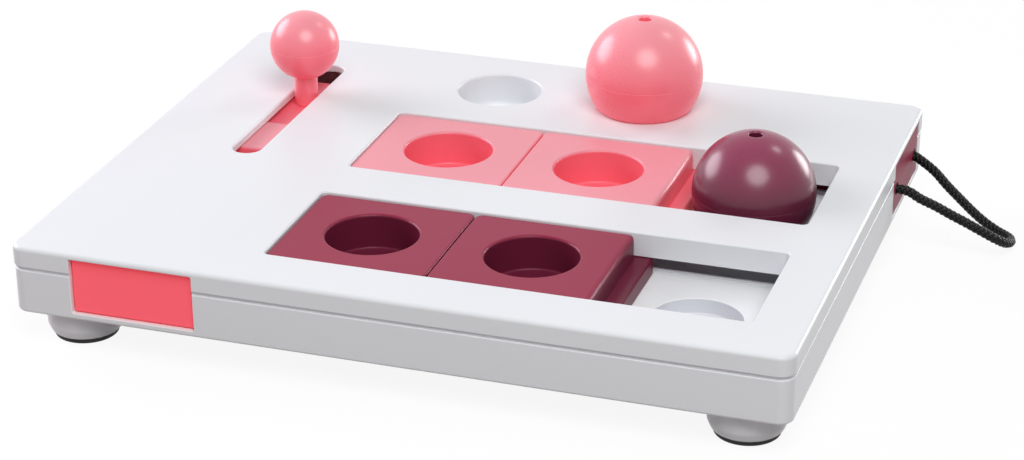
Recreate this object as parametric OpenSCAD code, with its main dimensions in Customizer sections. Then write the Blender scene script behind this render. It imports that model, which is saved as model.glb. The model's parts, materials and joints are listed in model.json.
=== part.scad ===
// Puzzle board for cats: a low two-part housing on four feet, with two tracks of sliding treat cups,
// two treat bowls, two lift-off domes, a drawer moved by a ball lever and a drawer pulled by a cord loop.
// Millimetres. The origin lies under the middle of the board, on the surface that it stands on.
// +X runs right along the long side, +Y to the back, +Z up.

/* [Sliders] */
// Length of one slider block
slider_l = 52.4; // [46:0.2:60]
// Width of one slider block
slider_w = 48.9; // [46:0.1:60]
// Plan corner radius of a slider block
slider_r = 2.5; // [1:0.5:4]
// Wall thickness of a slider
slider_wall = 2; // [1.2:0.1:2.4]
// How far a pair of sliders travels
slide_travel = 49.3; // [44:0.1:60]
// Play between a slider, its neighbour and its window
slider_gap = 0.3; // [0.2:0.05:0.6]
// Radius of the cup in a slider
cup_r = 14.8; // [10:0.1:18]
// Depth of the cup in a slider
cup_depth = 11.8; // [11:0.1:17]
// How far a slider's top lies below the top face
slider_set = 0.7; // [0.5:0.1:1.5]
// Thickness of a cup's floor
cup_floor = 1.8; // [1.2:0.1:3]
// Reach of the lip at a slider's outer end
lip_l = 5.2; // [4:0.2:9]
// Reach of the lips along a slider's sides
lip_w = 4; // [3:0.2:7]
// Play around the lips
lip_clear = 0.4; // [0.3:0.05:0.8]
// Running clearance under whatever slides or lifts off
run_clear = 0.2; // [0.1:0.05:0.4]

/* [Housing] */
// Plan corner radius of the housing
corner_r = 5; // [3:0.5:14]
// Thickness of the outer walls
wall = 2.5; // [2:0.1:3.5]
// Thickness of the top plate
plate_t = 2.5; // [2:0.1:3.5]
// Thickness of the housing's floor
floor_t = 1.6; // [1.2:0.1:3]
// Height of the upper shell's outer wall
upper_wall_h = 6.8; // [5.5:0.1:9]
// Height of the groove between the two shells
seam_gap = 1.3; // [0.5:0.1:2]
// Thickness of the tongue behind the groove
tongue_t = 1.4; // [0.8:0.1:1.6]
// Reach of the tongue into the upper shell
tongue_h = 2; // [1:0.1:2.4]
// Play around the tongue
tongue_clear = 0.15; // [0.1:0.05:0.3]
// How far the lower shell stands back from the upper one
lower_inset = 0.3; // [0:0.05:0.6]
// Depth of the skirts around the windows
skirt_depth = 8; // [6:0.2:9]
// Thickness of the skirts around the windows
skirt_t = 1.8; // [1.2:0.1:2.4]
// Corner radius of the windows
window_r = 2; // [1:0.5:3.5]
// Left edge of the board to the lever drawer's opening
side_margin = 20.8; // [16:0.1:40]
// Free space between the lever drawer and the tracks
bay_space = 7; // [3:0.1:30]
// Right end of the tracks to the board's right edge
right_space = 10.5; // [9:0.1:40]
// Front of the tracks to the board's front edge
front_space = 14.2; // [12.5:0.1:40]
// Free space between the two tracks
tray_space = 11.15; // [9.5:0.05:30]
// Free space between the middle track and the cord drawer's rail
tray_rail_gap = 1.1; // [0.5:0.1:20]
// Cord drawer's opening to the board's rear edge
rear_margin = 9.65; // [7:0.05:40]

/* [Tracks and bowls] */
// Wall thickness of the trays under the tracks
tray_wall = 1.2; // [1:0.1:2]
// Thickness of a tray's running floor
tray_floor_t = 1.6; // [1:0.1:2.4]
// Height of a tray's rim above its running floor
tray_rim = 0.8; // [0.4:0.1:4]
// Play around a tray in the housing
tray_clear = 0.2; // [0.1:0.05:0.4]
// Depth of the dishes in the tracks
dish_depth = 5.2; // [3:0.1:8]
// Ring of track floor between a dish and the foot of a dome
dish_seat = 1.6; // [1:0.1:3]
// Ring of top plate between a bowl and the foot of a dome
bowl_seat = 1.25; // [0.8:0.05:3]
// Depth of the bowls in the top plate
bowl_depth = 12.5; // [8:0.5:16]
// Wall thickness of the bowls
bowl_wall = 1.6; // [1:0.1:2.4]
// Reach of a bowl's flange under the top plate
bowl_flange = 2.2; // [1.5:0.1:3]

/* [Domes] */
// Outer radius of a dome
dome_r = 20.3; // [18:0.1:22]
// Radius of a dome's foot
dome_base_r = 16; // [13:0.1:17]
// Wall thickness of a dome
dome_wall = 2; // [1.4:0.1:3]
// Radius of the hole on top of a dome
vent_r = 2.2; // [1:0.1:4]

/* [Drawers] */
// Width of a drawer's opening
opening_w = 41.3; // [38:0.1:50]
// Top face to the upper edge of an opening
opening_top = 1.8; // [1.5:0.1:2.4]
// Height of the sill under an opening
opening_sill = 2.15; // [1.8:0.05:3.5]
// Gap around a drawer's front panel
panel_gap = 0.4; // [0.2:0.05:0.8]
// Thickness of a front panel
panel_t = 2; // [1.4:0.1:3]
// Thickness of a drawer's walls and floor
drawer_wall = 1.6; // [1:0.1:2.2]
// Reach of the ears at a drawer's rear end beyond its opening
ear_reach = 0.9; // [0.5:0.1:2]
// Thickness of the ears and the rear wall
ear_t = 1.6; // [1:0.1:3]
// Play between the ears and the rails
rail_clear = 0.3; // [0.2:0.05:0.6]
// Thickness of the rails beside a drawer
rail_t = 1.2; // [1:0.1:2]
// Height of the rails beside a drawer
rail_h = 8; // [4:0.5:12]
// Width of the runners under a drawer
runner_w = 2; // [1:0.5:4]
// Distance of the runners from the edges of the opening
runner_inset = 8; // [4:0.5:14]
// Clearance between the drawers and the top plate
deck_clear = 0.5; // [0.3:0.1:1]
// Recess of the lever drawer's panel
lever_recess = 1.5; // [0:0.1:3]
// Recess of the cord drawer's panel
cord_recess = 0.4; // [0:0.1:2]
// Travel of the cord drawer
cord_travel = 55; // [35:0.5:58]
// Room left before the cord drawer's stop
stop_room = 0.3; // [0.2:0.1:1]
// Length of the treat compartment in the lever drawer
compartment_l = 50; // [20:1:90]

/* [Lever] */
// Radius of the ball knob
knob_r = 12.1; // [8:0.1:16]
// Height of the ball's centre above the top face
knob_rise = 17.7; // [17:0.1:30]
// Radius of the lever's stem
stem_r = 4.1; // [3:0.1:6]
// Front edge of the board to the stem
lever_set_back = 147.4; // [140:0.1:155]
// Sideways place of the stem from the middle of its drawer
lever_offset = -1.45; // [-6:0.05:6]
// Travel of the lever and its drawer
lever_travel = 52; // [30:0.5:60]
// Room behind the stem in the slot
slot_rear_room = 22.9; // [2:0.1:26]
// Play between the stem and the slot
slot_clear = 0.9; // [0.4:0.1:1.5]
// Thickness of the deck that closes the slot from below
deck_t = 2; // [1.4:0.1:3]
// Step from the front deck down to the deck that carries the lever
deck_step = 1.2; // [0.5:0.1:3]
// Stem to the step in the deck
step_ahead = 22.4; // [8:0.1:40]
// Stem to the rear end of its slide
lever_tail = 19.6; // [12:0.1:30]
// Radius of the spigot under the stem
spigot_r = 2.6; // [2.2:0.1:3.6]
// Play around the spigot
spigot_clear = 0.1; // [0.05:0.05:0.2]
// Radius of the lever screw's head
lever_head_r = 3.6; // [3:0.1:5]
// Height of the lever screw's head
lever_head_h = 2; // [1:0.1:3]
// Radius of the lever screw's shank
lever_shank_r = 1.25; // [1:0.05:1.6]
// Length of the lever screw's shank
lever_shank_l = 14; // [8:0.5:18]

/* [Feet] */
// Height of the housing above the surface it stands on
foot_h = 12; // [8:0.5:20]
// Radius of a foot
foot_r = 12.2; // [9:0.1:15]
// Wall thickness of a foot at its top
foot_wall = 4; // [3:0.1:6]
// How far a foot draws in towards its pad
foot_taper = 2.6; // [0:0.1:2.8]
// Height over which a foot draws in
foot_curve = 6; // [2:0.1:8]
// Distance of a foot's centre from the edges of the board
foot_inset = 16.8; // [15:0.1:30]
// Thickness of a rubber pad below its foot
pad_t = 1.8; // [1:0.1:3]
// How far a pad stands back from the edge of its foot
pad_inset = 0.1; // [0:0.1:1]
// Depth of a pad's plug in its foot
pad_plug_h = 3; // [1:0.5:6]
// Play around a pad's plug
pad_clear = 0.1; // [0.05:0.05:0.3]

/* [Housing screws] */
// Radius of the bosses and posts
boss_r = 4; // [3.4:0.1:4.4]
// Height of the bosses above the housing's underside
boss_h = 5; // [4.5:0.5:8]
// Depth of the recess for a screw's head
sink_depth = 3; // [2.4:0.1:3.6]
// Radius of a screw's head
head_r = 2.8; // [2.2:0.1:3]
// Height of a screw's head
head_h = 2.2; // [1.5:0.1:2.4]
// Radius of a screw's shank
shank_r = 1.5; // [1.2:0.1:1.8]
// Length of a screw's shank
shank_l = 11; // [8:0.5:12]
// Thread's bite in its pilot hole
bite = 0.15; // [0.05:0.05:0.3]
// Play around a screw in its boss
screw_clear = 0.3; // [0.2:0.1:0.4]
// Distance of the left screws from the front and rear edges
screw_inset = 45; // [36:1:60]

/* [Cord] */
// Diameter of the cord
cord_d = 3.5; // [2.5:0.1:3.9]
// Play around the cord in the panel's holes
cord_clear = 0.35; // [0.2:0.05:0.6]
// Radius of the knots behind the panel
knot_r = 3.1; // [2.6:0.1:3.2]
// Length of a knot along the cord
knot_l = 6.4; // [5:0.1:8]
// Play between a knot and the panel
knot_clear = 0.2; // [0.1:0.05:0.3]

/* [Hidden] */
$fn = 64;

// Overshoot of every cut, and how far joined shapes sink into each other
cut = 1;
sink = 0.5;

WHITE = [0.92, 0.925, 0.94];
PALE = [0.84, 0.85, 0.88];
PINK = [0.94, 0.38, 0.45];
MAROON = [0.45, 0.13, 0.23];
BLACK = [0.08, 0.075, 0.08];
STEEL = [0.7, 0.7, 0.72];

// Heights
track_depth = slider_set + cup_depth + cup_floor + run_clear;
body_h = track_depth + dish_depth + tray_wall + floor_t;
top_z = foot_h + body_h;
floor_z = foot_h + floor_t;
plate_z = top_z - plate_t;
track_z = top_z - track_depth;
slider_z = top_z - slider_set;
skirt_z = top_z - skirt_depth;
lip_z = skirt_z - lip_clear;
seam_high_z = top_z - upper_wall_h;
seam_low_z = seam_high_z - seam_gap;
boss_z = foot_h + boss_h;
panel_low_z = foot_h + opening_sill + panel_gap;
panel_high_z = top_z - opening_top - panel_gap;
deck_z = plate_z - deck_clear;
low_deck_z = deck_z - deck_step;

// Windows, tracks and drawers from the sliders outward
window_l = 2 * slider_l + slide_travel + 3 * slider_gap;
window_w = slider_w + 2 * slider_gap;
tray_reach_l = lip_l - slider_gap + lip_clear + tray_wall;
tray_reach_w = lip_w - slider_gap + lip_clear + tray_wall;
tray_l = window_l + 2 * tray_reach_l;
tray_w = window_w + 2 * tray_reach_w;
drawer_reach = ear_reach + rail_clear + rail_t;
drawer_half = opening_w / 2 - panel_gap;
lever_bay = drawer_reach + bay_space + tray_reach_l;
cord_bay = tray_reach_w + tray_rail_gap + drawer_reach;
front_margin = front_space + tray_reach_w;
track_pitch = window_w + 2 * tray_reach_w + tray_space;

// Overall plan of the housing
board_l = side_margin + opening_w + lever_bay + window_l + tray_reach_l + right_space;
board_w = front_margin + track_pitch + window_w + cord_bay + opening_w + rear_margin;
left_x = -board_l / 2;
front_y = -board_w / 2;

// Places of the features
lever_drawer_x = left_x + side_margin + opening_w / 2;
window_x0 = left_x + side_margin + opening_w + lever_bay;
window_x = window_x0 + window_l / 2;
front_track_y = front_y + front_margin + window_w / 2;
middle_track_y = front_track_y + track_pitch;
bowl_y = middle_track_y + window_w / 2 + cord_bay + opening_w / 2;
cell_pitch = slider_l + slider_gap;
cell_x = [for (i = [0:2]) window_x0 + slider_gap + slider_l / 2 + i * cell_pitch];
lever_x = lever_drawer_x + lever_offset;
lever_y = front_y + lever_set_back;
slot_r = stem_r + slot_clear;
slot_front_y = lever_y - lever_travel - stem_r - slot_clear;
slot_rear_y = lever_y + stem_r + slot_rear_room;
foot_x = board_l / 2 - foot_inset;
foot_y = board_w / 2 - foot_inset;

// Bowls, dishes and domes
dish_r = dome_base_r - dish_seat;
bowl_r = dome_base_r - bowl_seat;
dome_rise = sqrt(dome_r * dome_r - dome_base_r * dome_base_r);

// Drawers, from the outer face of the wall to their rear ends
lever_slide_y = lever_recess + panel_t + compartment_l + drawer_wall;
lever_rear_y = lever_set_back + lever_tail;
cord_rear_y = wall + cord_travel + stop_room + ear_t;
opening_depth = max(wall, max(lever_recess, cord_recess) + panel_t) + cut;

// Screws: two at the left, two at the front, two between the tracks and two in the bowl row
left_screw_x = left_x + (wall + side_margin - drawer_reach) / 2;
lever_rail_x = left_x + side_margin + opening_w + drawer_reach;
front_screw_y = front_y + (wall + front_space) / 2;
between_y = (front_track_y + middle_track_y) / 2;
bowl_screw_x = (lever_rail_x + cell_x[0] - bowl_r - bowl_wall - bowl_flange) / 2;
between_x = (cell_x[0] + cell_x[1]) / 2;
right_screw_x = board_l / 2 - wall - boss_r - screw_clear;
SCREWS = [
    [left_screw_x, front_y + screw_inset],
    [left_screw_x, -front_y - screw_inset],
    [cell_x[0], front_screw_y],
    [cell_x[2], front_screw_y],
    [between_x, between_y],
    [right_screw_x, between_y],
    [bowl_screw_x, bowl_y],
    [between_x, bowl_y]
];

// Cord: the loop leaves the panel, droops to the table at its tip and comes back
CORD_ROUTE = [
    [118, 85, 22], [124, 85, 22], [128.2, 84.2, 20.2], [132.8, 82.6, 17.7], [137.6, 80.9, 13.8],
    [142.7, 79.7, 9.8], [147.5, 78.5, 6.2], [152.1, 77.1, 3.5], [156.6, 74.8, 2.1], [160.7, 71.1, 2.1],
    [162.2, 66.2, 2.8], [161.2, 61.2, 4.4], [158.1, 57.8, 7], [152.9, 56.7, 9.9], [147.9, 57, 12],
    [142.7, 57.4, 14], [137.8, 57.3, 16.3], [132.5, 56.4, 18.8], [128.4, 55.7, 21.3], [124, 55, 22], [118, 55, 22]
];
CORD_SIDES = 8;
CORD_HOLES_Y = [CORD_ROUTE[0].y, CORD_ROUTE[len(CORD_ROUTE) - 1].y];
cord_z = CORD_ROUTE[0].z;

// Flat outline with round corners
module rounded_rect(l, w, r) {
    square([l - 2 * r, w], center = true);
    square([l, w - 2 * r], center = true);
    for (x = [-1, 1], y = [-1, 1])
        translate([x * (l / 2 - r), y * (w / 2 - r)])
            circle(r);
}

// Upright prism on a round-cornered outline, from one height to another
module slab(l, w, r, low, high) {
    translate([0, 0, low])
        linear_extrude(high - low)
            rounded_rect(l, w, r);
}

// Straight block between two corners
module block(low, high) {
    translate(low)
        cube(high - low);
}

// Upright round bar from one height to another
module bar(r, low, high) {
    translate([0, 0, low])
        cylinder(r = r, h = high - low);
}

// Prism on the housing's outline, set in from the edge
module outline(inset, low, high) {
    slab(board_l - 2 * inset, board_w - 2 * inset, corner_r - inset, low, high);
}

// Places its children at the lever drawer's opening, with +Y running into the housing
module at_lever_opening() {
    translate([lever_drawer_x, front_y, 0])
        children();
}

// Places its children at the cord drawer's opening, with +Y running into the housing
module at_cord_opening() {
    translate([board_l / 2, bowl_y, 0])
        rotate(90)
            children();
}

// Both drawer openings, cut through the walls
module openings() {
    low = [-opening_w / 2, -cut, foot_h + opening_sill];
    high = [opening_w / 2, opening_depth, top_z - opening_top];
    at_lever_opening() block(low, high);
    at_cord_opening() block(low, high);
}

// Slot for the lever's stem, with round ends, cut through the top plate
module lever_slot() {
    front = slot_front_y + slot_r;
    rear = slot_rear_y - slot_r;
    for (y = [front, rear])
        translate([lever_x, y, 0])
            bar(slot_r, plate_z - cut, top_z + cut);
    block([lever_x - slot_r, front, plate_z - cut], [lever_x + slot_r, rear, top_z + cut]);
}

// Upper shell: plate with holes over the bowls, outer wall, window skirts and screw posts
module top_shell() {
    color(WHITE)
    difference() {
        union() {
            difference() {
                outline(0, seam_high_z, top_z);
                outline(wall, seam_high_z - cut, plate_z);
                outline(wall - tongue_t - tongue_clear,
                    seam_high_z - cut, seam_high_z + tongue_h + tongue_clear);
            }
            for (y = [front_track_y, middle_track_y])
                translate([window_x, y, 0])
                    slab(window_l + 2 * skirt_t, window_w + 2 * skirt_t, window_r + skirt_t,
                        skirt_z, plate_z + sink);
            for (place = SCREWS)
                translate(place)
                    bar(boss_r, boss_z, plate_z + sink);
        }
        for (y = [front_track_y, middle_track_y])
            translate([window_x, y, 0])
                slab(window_l, window_w, window_r, skirt_z - cut, top_z + cut);
        for (x = [cell_x[0], cell_x[1]])
            translate([x, bowl_y, 0])
                bar(bowl_r, plate_z - cut, top_z + cut);
        lever_slot();
        for (place = SCREWS)
            translate(place)
                bar(shank_r - bite, boss_z - cut, foot_h + sink_depth + shank_l + cut);
        openings();
    }
}

// Treat bowl under its hole in the top plate, with a flange that is welded to the plate
module treat_bowl(x) {
    low = top_z - bowl_depth;
    color(WHITE)
    translate([x, bowl_y, 0])
    difference() {
        union() {
            bar(bowl_r + bowl_wall, low - bowl_wall, plate_z);
            bar(bowl_r + bowl_wall + bowl_flange, plate_z - bowl_wall, plate_z);
        }
        bar(bowl_r, low, plate_z + cut);
    }
}

// Two rails and two runners for a drawer, with +Y running into the housing
module drawer_ribs(length) {
    for (side = [-1, 1])
        mirror([side < 0 ? 1 : 0, 0, 0]) {
            rail_x = opening_w / 2 + ear_reach + rail_clear;
            runner_x = opening_w / 2 - runner_inset;
            block([rail_x, wall - sink, floor_z - sink], [rail_x + rail_t, length, floor_z + rail_h]);
            block([runner_x, wall + cut, floor_z - sink],
                [runner_x + runner_w, length, panel_low_z - run_clear]);
        }
}

// Short ribs that hold a tray in place at its ends
module tray_fences() {
    fence_l = window_w / 2;
    fence_h = dish_depth;
    for (y = [front_track_y, middle_track_y], side = [-1, 1])
        translate([window_x + side * (tray_l / 2 + tray_clear + rail_t / 2), y, floor_z + fence_h / 2])
            cube([rail_t, fence_l, fence_h + 2 * sink], center = true);
}

// Foot that draws in towards its pad
module foot() {
    rotate_extrude()
        polygon([
            [0, pad_t], [foot_r - foot_taper, pad_t], [foot_r, pad_t + foot_curve],
            [foot_r, foot_h + sink], [0, foot_h + sink]
        ]);
}

// Lower shell: floor, outer wall with its tongue, hollow feet, drawer rails and screw bosses
module bottom_shell() {
    color(WHITE)
    difference() {
        union() {
            difference() {
                union() {
                    outline(lower_inset, foot_h, seam_low_z);
                    outline(wall - tongue_t, seam_low_z - sink, seam_high_z + tongue_h);
                }
                outline(wall, floor_z, top_z);
            }
            for (x = [-1, 1], y = [-1, 1])
                translate([x * foot_x, y * foot_y, 0])
                    foot();
            for (place = SCREWS)
                translate(place)
                    bar(boss_r, foot_h, boss_z);
            at_lever_opening() drawer_ribs(lever_rear_y);
            at_cord_opening() drawer_ribs(cord_rear_y);
            tray_fences();
        }
        for (x = [-1, 1], y = [-1, 1])
            translate([x * foot_x, y * foot_y, 0])
                bar(foot_r - foot_wall, pad_t - cut, foot_h);
        for (place = SCREWS)
            translate(place) {
                bar(head_r + screw_clear, foot_h - cut, foot_h + sink_depth);
                bar(shank_r + screw_clear, foot_h, boss_z + cut);
            }
        openings();
    }
}

// Tray under one track: running floor with a low rim, and three round dishes
module track_tray(y) {
    color(PALE)
    translate([0, y, 0])
    difference() {
        union() {
            difference() {
                translate([window_x, 0, 0])
                    slab(tray_l, tray_w, tray_wall, floor_z, track_z + tray_rim);
                translate([window_x, 0, 0])
                    slab(tray_l - 2 * tray_wall, tray_w - 2 * tray_wall, tray_wall / 2,
                        track_z, plate_z + cut);
                translate([window_x, 0, 0])
                    slab(tray_l - 2 * tray_wall, tray_w - 2 * tray_wall, tray_wall / 2,
                        floor_z - cut, track_z - tray_floor_t);
            }
            for (x = cell_x)
                translate([x, 0, 0])
                    bar(dish_r + tray_wall, floor_z, track_z - tray_floor_t + sink);
        }
        for (x = cell_x)
            translate([x, 0, 0])
                bar(dish_r, track_z - dish_depth, track_z + cut);
    }
}

// Block and lips of a slider with its lip end at +X, made larger or smaller all round
module slider_form(grow, block_high, lip_high, low) {
    slab(slider_l + 2 * grow, slider_w + 2 * grow, slider_r + grow, low, block_high);
    translate([lip_l / 2, 0, 0])
        slab(slider_l + lip_l + 2 * grow, slider_w + 2 * lip_w + 2 * grow, slider_r + grow, low, lip_high);
}

// Hollow slider with a treat cup; side is -1 where its lip end is at the left, 1 at the right
module slider(x, y, side) {
    low = track_z + run_clear;
    translate([x, y, 0])
    rotate(side < 0 ? 180 : 0)
    difference() {
        slider_form(0, slider_z, lip_z, low);
        difference() {
            slider_form(-slider_wall, slider_z - slider_wall, lip_z - slider_wall, low - cut);
            bar(cup_r + slider_wall, low - 2 * cut, slider_z);
        }
        bar(cup_r, slider_z - cup_depth, slider_z + cut);
    }
}

// Hollow dome: a sphere cut flat at its foot, with a small hole on top
module dome(x, y, base_z) {
    translate([x, y, base_z + dome_rise])
    difference() {
        sphere(dome_r);
        sphere(dome_r - dome_wall);
        translate([-2 * dome_r, -2 * dome_r, -4 * dome_r - dome_rise])
            cube(4 * dome_r);
        cylinder(r = vent_r, h = dome_r + cut);
    }
}

// Front panel of a drawer and the closed block behind it, with +Y running into the housing
module drawer_block(recess, rear) {
    block([-drawer_half, recess, panel_low_z], [drawer_half, recess + panel_t, panel_high_z]);
    block([-drawer_half, recess, panel_low_z], [drawer_half, rear, deck_z]);
}

// Ears at a drawer's rear end that run between the rails and stop at the wall
module drawer_ears(rear) {
    reach = opening_w / 2 + ear_reach;
    block([-reach, rear - ear_t, panel_low_z], [reach, rear, deck_z]);
}

// Lever drawer: open treat compartment behind its panel
module lever_drawer() {
    inner = drawer_half - drawer_wall;
    cup_y = lever_recess + panel_t;
    color(PINK)
    at_lever_opening()
    difference() {
        drawer_block(lever_recess, lever_slide_y);
        block([-inner, cup_y, panel_low_z + drawer_wall], [inner, cup_y + compartment_l, top_z]);
    }
}

// Lever slide, joined to the drawer's rear wall: a stepped deck on walls that closes the slot from below
module lever_slide() {
    inner = drawer_half - drawer_wall;
    hollow_y = lever_slide_y + drawer_wall;
    step_y = lever_set_back - step_ahead;
    color(PINK)
    at_lever_opening()
    difference() {
        union() {
            block([-drawer_half, lever_slide_y, panel_low_z], [drawer_half, lever_rear_y, deck_z]);
            drawer_ears(lever_rear_y);
        }
        block([-inner, hollow_y, foot_h], [inner, step_y - deck_t, deck_z - deck_t]);
        block([-inner, hollow_y, foot_h], [inner, lever_rear_y - ear_t, low_deck_z - deck_t]);
        block([-opening_w, step_y, low_deck_z], [opening_w, lever_rear_y + cut, top_z]);
        translate([lever_offset, lever_set_back, 0])
            bar(spigot_r + spigot_clear, foot_h, top_z);
    }
}

// Ball knob on its stem, with a spigot that goes through the deck
module lever_knob() {
    color(PINK)
    translate([lever_x, lever_y, 0])
    difference() {
        union() {
            translate([0, 0, top_z + knob_rise])
                sphere(knob_r);
            bar(stem_r, low_deck_z, top_z + knob_rise);
            bar(spigot_r, low_deck_z - deck_t, low_deck_z + sink);
        }
        bar(lever_shank_r - bite, low_deck_z - deck_t - cut, low_deck_z - deck_t + lever_shank_l + cut);
    }
}

// Screw with a round head, a cross recess and its shank upward from the head's seat
module screw(seat_z, head_radius, head_height, shank_radius, shank_length) {
    recess_w = head_radius / 3;
    recess_h = head_height / 2;
    difference() {
        union() {
            bar(head_radius, seat_z - head_height, seat_z);
            bar(shank_radius, seat_z - sink, seat_z + shank_length);
        }
        for (turn = [0, 90])
            rotate(turn)
                translate([0, 0, seat_z - head_height])
                    cube([4 * recess_w, recess_w, 2 * recess_h], center = true);
    }
}

// Screw that holds the lever from below the deck
module lever_screw() {
    color(STEEL)
    translate([lever_x, lever_y, 0])
        screw(low_deck_z - deck_t, lever_head_r, lever_head_h, lever_shank_r, lever_shank_l);
}

// Cord drawer: open box with two holes for the cord in its panel
module cord_drawer() {
    inner = drawer_half - drawer_wall;
    box_y = cord_recess + panel_t;
    color(MAROON)
    at_cord_opening()
    difference() {
        union() {
            drawer_block(cord_recess, cord_rear_y);
            drawer_ears(cord_rear_y);
        }
        block([-inner, box_y, panel_low_z + drawer_wall], [inner, cord_rear_y - ear_t, top_z]);
        for (y = CORD_HOLES_Y)
            translate([y - bowl_y, 0, cord_z])
                rotate([-90, 0, 0])
                    cylinder(r = cord_d / 2 + cord_clear, h = box_y + cut);
    }
}

// Direction of the route at one of its points
function heading(points, i) =
    let (step = points[min(i + 1, len(points) - 1)] - points[max(i - 1, 0)])
    step / norm(step);

// Ring of points around the route at one of its points
function cord_ring(points, i) =
    let (along = heading(points, i))
    let (aside = cross(along, [0, 0, 1]) / norm(cross(along, [0, 0, 1])))
    let (above = cross(aside, along))
    [for (k = [0:CORD_SIDES - 1])
        let (turn = 360 * k / CORD_SIDES)
        points[i] + cord_d / 2 * (cos(turn) * aside + sin(turn) * above)];

// Closed tube along the cord's route
module pull_cord() {
    rings = len(CORD_ROUTE);
    skin = [
        for (i = [0:rings - 2], k = [0:CORD_SIDES - 1])
            let (next = (k + 1) % CORD_SIDES)
            each [
                [i * CORD_SIDES + k, (i + 1) * CORD_SIDES + k, i * CORD_SIDES + next],
                [i * CORD_SIDES + next, (i + 1) * CORD_SIDES + k, (i + 1) * CORD_SIDES + next]
            ]
    ];
    first_cap = [for (k = [0:CORD_SIDES - 1]) k];
    last_cap = [for (k = [0:CORD_SIDES - 1]) rings * CORD_SIDES - 1 - k];
    color(BLACK)
        polyhedron(
            points = [for (i = [0:rings - 1]) each cord_ring(CORD_ROUTE, i)],
            faces = concat(skin, [first_cap, last_cap]));
}

// Knot that keeps one end of the cord behind the panel: a barrel about the cord, flat at the panel
module cord_knot(y) {
    panel_x = board_l / 2 - cord_recess - panel_t - knot_clear;
    slope = knot_r - cord_d / 2;
    color(BLACK)
    translate([panel_x, y, cord_z])
        rotate([0, -90, 0])
            rotate_extrude()
                polygon([
                    [0, 0], [knot_r - slope / 2, 0], [knot_r, slope / 2],
                    [knot_r, knot_l - slope], [cord_d / 2, knot_l], [0, knot_l]
                ]);
}

// Rubber pad with a plug that fits in a foot
module foot_pad(side_x, side_y) {
    color(BLACK)
    translate([side_x * foot_x, side_y * foot_y, 0]) {
        bar(foot_r - foot_taper - pad_inset, 0, pad_t);
        bar(foot_r - foot_wall - pad_clear, pad_t - sink, pad_t + pad_plug_h);
    }
}

// Screws that join the two shells
module housing_screws() {
    color(STEEL)
    for (place = SCREWS)
        translate(place)
            screw(foot_h + sink_depth, head_r, head_h, shank_r, shank_l);
}

top_shell();
bottom_shell();
track_tray(front_track_y);  // front_track_tray
track_tray(middle_track_y);  // middle_track_tray
treat_bowl(cell_x[0]);  // treat_bowl_left
treat_bowl(cell_x[1]);  // treat_bowl_right
color(MAROON) slider(cell_x[0], front_track_y, -1);  // maroon_slider_left
color(MAROON) slider(cell_x[1], front_track_y, 1);  // maroon_slider_right
color(PINK) slider(cell_x[0], middle_track_y, -1);  // pink_slider_left
color(PINK) slider(cell_x[1], middle_track_y, 1);  // pink_slider_right
color(PINK) dome(cell_x[1], bowl_y, top_z);  // pink_dome
color(MAROON) dome(cell_x[2], middle_track_y, track_z);  // maroon_dome
lever_drawer();
lever_slide();
lever_knob();
lever_screw();
cord_drawer();
pull_cord();
cord_knot(CORD_HOLES_Y[1]);  // cord_knot_front
cord_knot(CORD_HOLES_Y[0]);  // cord_knot_rear
foot_pad(-1, -1);  // foot_pad_front_left
foot_pad(1, -1);  // foot_pad_front_right
foot_pad(-1, 1);  // foot_pad_rear_left
foot_pad(1, 1);  // foot_pad_rear_right
housing_screws();
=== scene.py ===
import json
import math

import bmesh
import bpy
from bpy.props import FloatProperty, FloatVectorProperty, IntProperty, PointerProperty
from mathutils import Matrix, Vector


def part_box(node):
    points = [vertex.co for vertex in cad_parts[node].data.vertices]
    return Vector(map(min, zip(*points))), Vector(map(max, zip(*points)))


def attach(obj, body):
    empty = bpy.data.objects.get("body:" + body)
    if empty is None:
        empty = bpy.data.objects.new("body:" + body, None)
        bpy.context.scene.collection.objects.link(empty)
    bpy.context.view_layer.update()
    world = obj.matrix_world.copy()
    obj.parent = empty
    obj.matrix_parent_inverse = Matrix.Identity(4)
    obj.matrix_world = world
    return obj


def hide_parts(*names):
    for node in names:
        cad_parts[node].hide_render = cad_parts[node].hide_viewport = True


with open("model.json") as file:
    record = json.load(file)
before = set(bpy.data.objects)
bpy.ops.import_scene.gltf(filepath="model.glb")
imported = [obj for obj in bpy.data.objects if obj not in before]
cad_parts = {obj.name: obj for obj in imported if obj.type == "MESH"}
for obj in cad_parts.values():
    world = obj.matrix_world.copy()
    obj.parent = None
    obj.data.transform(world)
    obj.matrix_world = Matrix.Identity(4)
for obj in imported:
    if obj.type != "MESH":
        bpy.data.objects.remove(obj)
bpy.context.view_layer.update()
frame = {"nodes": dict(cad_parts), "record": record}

bl_info = {
    "name": "Cat Puzzle Board",
    "version": (1, 0, 0),
    "blender": (4, 5, 0),
    "location": "3D View > Sidebar > Puzzle Board",
    "description": "Dresses the CAD frame of a puzzle board for cats",
    "category": "Add Mesh",
}

MM = 0.001
# Edges that turn by more than this stay sharp in the shading
SHARP_ANGLE = math.radians(38)
# Steps along arcs, corners and balls, and sides of round forms
ARC_STEPS = 6
CORNER_STEPS = 10
BALL_STEPS = 44
HOLLOW_STEPS = 30
TURNED_SIDES = 96
CORE_SIDES = 12
STRAND_SIDES = 8
# Distance between the rings of the cord and of its knots
CORD_STEP = 0.4 * MM
KNOT_STEP = 0.3 * MM
# Overshoot of a cut beyond the face that it goes through
CUT = 1 * MM
# How far joined forms sink into each other
SINK = 0.5 * MM
# Step that keeps two faces just apart
HAIR = 0.02 * MM
# A rounded rim is followed to this angle, and then runs straight past the face
RIM_ANGLE = math.radians(80)
RIM_LIFT = 0.04 * MM
# Points of a finished mesh that lie closer than the first become one,
# and edges shorter than the second vanish
WELD = 2e-6
TINY = 1e-6
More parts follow.
